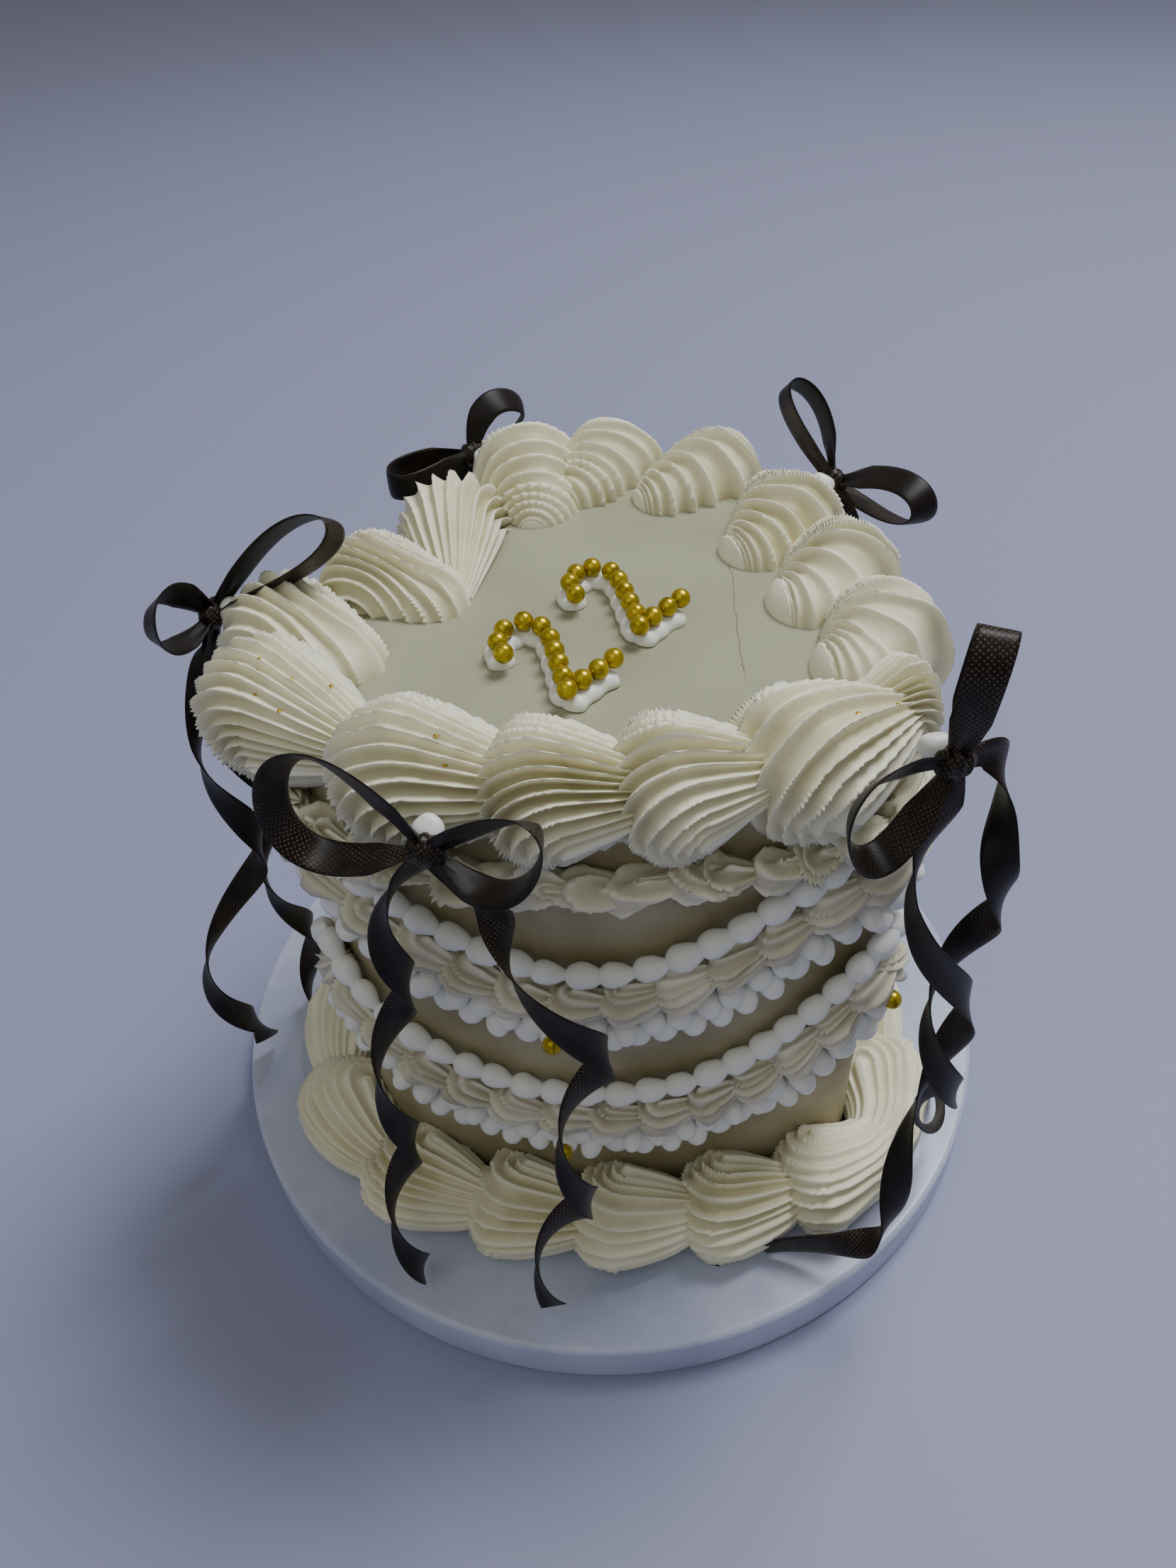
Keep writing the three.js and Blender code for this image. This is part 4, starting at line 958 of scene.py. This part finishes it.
# A flat band along its middle: each section is a thin rounded slab, half the width to either side with a
# slight crown. It keeps the way across in millimetres, with 20 added on the face that shows its weave.
def bandBody(knot, middles, widths, pinchedEnds, wovenFirst):
    travel = unit(np.gradient(middles, axis=0))
    steps = np.linalg.norm(np.diff(middles, axis=0), axis=1)
    down = np.concatenate([[0], np.cumsum(steps)])
    reach = np.minimum(down, down[-1] - down) if pinchedEnds == 2 else down
    share = np.minimum(1, ribbon["pinchWidth"] + (1 - ribbon["pinchWidth"]) * reach / ribbon["pinchReach"])
    across = unit(widths - travel * (widths * travel).sum(-1, keepdims=True))
    face = np.cross(travel, across)
    points = np.linspace(-1, 1, 9)
    edge = np.concatenate([points, points[::-1]])
    upper = np.concatenate([np.ones(9), -np.ones(9)])
    half = ribbon["thickness"] / 2
    lift = upper * half * np.sqrt(1 - 0.85 * edge ** 4) + 0.1 * (1 - edge ** 2)
    gather = (1 - share)[:, None] * 1.1 * np.sin(4.5 * edge)[None, :]
    aside = ribbon["width"] / 2 * share[:, None] * edge
    rings = (middles[:, None, :] + aside[..., None] * across[:, None, :]
             + (lift + gather)[..., None] * face[:, None, :])
    body = closedBodies(fromKnot(knot, rings)[None])
    side = ribbon["width"] / 2 * edge + 20 * (upper > 0 if wovenFirst else upper < 0)
    ends = lambda values: np.concatenate([values.ravel(), [values.flat[0], values.flat[-1]]])
    body["across"] = ends(np.broadcast_to(side, (len(down), 18)))
    body["down"] = ends(np.broadcast_to(down[:, None], (len(down), 18)))
    return body


# A vector turned about an axis by an angle: v cos + (axis x v) sin + axis (axis . v)(1 - cos).
def turned(vectors, axes, angle):
    cosine, sine = np.cos(angle), np.sin(angle)
    return (vectors * cosine + np.cross(axes, vectors) * sine
            + axes * (axes * vectors).sum(-1, keepdims=True) * (1 - cosine))


# A loop leaves the knot and comes back: tip x sin(pi s) + belly x sin(2 pi s).
def loopBody(knot, tip, belly, tips):
    tip, belly = np.array(tip, float), np.array(belly, float)
    share = np.linspace(ribbon["inKnot"], 1 - ribbon["inKnot"], ribbon["loopSteps"])[:, None]
    middles = tip * np.sin(np.pi * share) + belly * np.sin(2 * np.pi * share)
    level = unit(np.cross(tip, belly))
    level = level if level @ np.array([0.1, 1, 0]) > 0 else -level
    travel = unit(np.gradient(middles, axis=0))
    angle = np.radians(tips[0] * (1 - share) + tips[1] * share)
    return bandBody(knot, middles, turned(level + 0 * middles, travel, angle), 2, False)


# A tail winds round its axis, its face turned away from it: axis + radius x (cos, sin) of its turn.
def tailBody(knot, axis, curl):
    start, turns, radius = curl
    line = smoothLine(np.array(axis, float), ribbon["tailSteps"])
    length = np.linalg.norm(np.diff(line, axis=0), axis=1).sum()
    share = np.linspace(0, 1, ribbon["tailSteps"])[:, None]
    angle = np.radians(start + 360 * turns * share)
    away = np.concatenate([np.cos(angle), np.sin(angle), 0 * angle], -1)
    middles = line + away * radius * np.minimum(1, length * share / ribbon["curlGrowth"])
    widths = np.cross(np.gradient(middles, axis=0), away)
    return bandBody(knot, middles, widths, 1, True)


# The knot is a small band wrapped round the middle: an egg-shaped pad with folds that run over it.
def knotBody(knot):
    turn = np.linspace(0.05, np.pi - 0.05, 30)[:, None]
    around = np.linspace(0, 2 * np.pi, 60, endpoint=False)[None, :]
    fold = 1 + knotPad["foldDepth"] * np.sin(knotPad["folds"] * np.cos(turn) + 0.6 * np.sin(around))
    form = np.stack([knotPad["width"] / 2 * np.cos(turn) + 0 * around,
                     knotPad["depth"] / 2 * np.sin(turn) ** 0.6 * np.cos(around) * fold,
                     knotPad["height"] / 2 * np.sin(turn) ** 0.6 * np.sin(around) * fold], -1)
    body = closedBodies(fromKnot(knot, form)[None])
    body["across"] = 20 + body["places"][:, 2]
    body["down"] = body["places"][:, 0]
    return body


for name, bow in bows.items():
    knot = bow["knot"]
    loops = [loopBody(knot, *loop) for loop in bow["loops"]]
    tails = [tailBody(knot, *tail) for tail in bow["tails"]]
    addPiece("ribbon" + name.capitalize(), loops + tails + [knotBody(knot)], satin, ["bow_" + name])
    dab = balls(fromKnot(knot, np.array([bowDot["place"]], float)), bowDot["radius"], (18, 26), 0.95)
    lumps = unevenness(dab["places"], bowDot["lump"], len(name))
    dab["places"] += lumps[:, None] * bowDot["lumpDepth"] * upwards
    addPiece("dab" + name.capitalize(), [dab], whiteIcing, ["bow_dot_" + name])
print("bows made")

# Floor, light and camera

view = {"place": (-1.9, -208.1, 274.2), "pitch": 41.09, "roll": -3.33, "lens": 26}
stage = {"floor": "9498b8", "floorSize": 14, "sky": "ecebe8", "skyStrength": 0.28}
lights = {"window": {"place": (0.72, 0.5, 1.75), "size": 0.7, "power": 31.0, "hue": "f8f9fb"},  # in metres
          "room": {"place": (-0.3, -0.5, 0.9), "size": 0.8, "power": 1.6, "hue": "fbfbf2"}}


# A plain pale floor, far larger than the view.
def addFloor():
    material, shader = newMaterial("pale floor")
    setInputs(shader, {"Base Color": colour(stage["floor"]), "Roughness": 0.6})
    bpy.ops.mesh.primitive_plane_add(size=stage["floorSize"])
    floor = bpy.context.object
    floor.name = "floor"
    floor.data.materials.append(material)


# A soft area light that looks at the cake's middle.
def addLight(name, place, size, power, hue):
    lamp = bpy.data.lights.new(name, "AREA")
    lamp.size = size
    lamp.energy = power
    lamp.color = colour(hue)[:3]
    holder = bpy.data.objects.new(name, lamp)
    bpy.context.scene.collection.objects.link(holder)
    holder.location = place
    holder.rotation_euler = (Vector((0, 0, 0.1)) - Vector(place)).to_track_quat("-Z", "Y").to_euler()


# The camera stands where the photo was taken, and looks down by its pitch with a slight roll.
def addCamera():
    pitch, roll = math.radians(view["pitch"]), math.radians(view["roll"])
    forward = Vector((0, math.cos(pitch), -math.sin(pitch)))
    right = Vector((1, 0, 0))
    up = right.cross(forward)
    right, up = (right * math.cos(roll) + up * math.sin(roll), up * math.cos(roll) - right * math.sin(roll))
    camera = bpy.data.objects.new("camera", bpy.data.cameras.new("camera"))
    bpy.context.scene.collection.objects.link(camera)
    camera.data.lens = view["lens"]
    camera.data.clip_start = 0.01
    columns = [right, up, -forward, Vector(view["place"]) * metre]
    camera.matrix_world = Matrix([[column[k] for column in columns] for k in range(3)] + [[0, 0, 0, 1]])
    bpy.context.scene.camera = camera


world = bpy.data.worlds.new("soft daylight")
bpy.context.scene.world = world
world.use_nodes = True
sky = world.node_tree.nodes["Background"]
setInputs(sky, {"Color": colour(stage["sky"]), "Strength": stage["skyStrength"]})
addFloor()
for name, lamp in lights.items():
    addLight(name, **lamp)
addCamera()
print("floor, light and camera made")
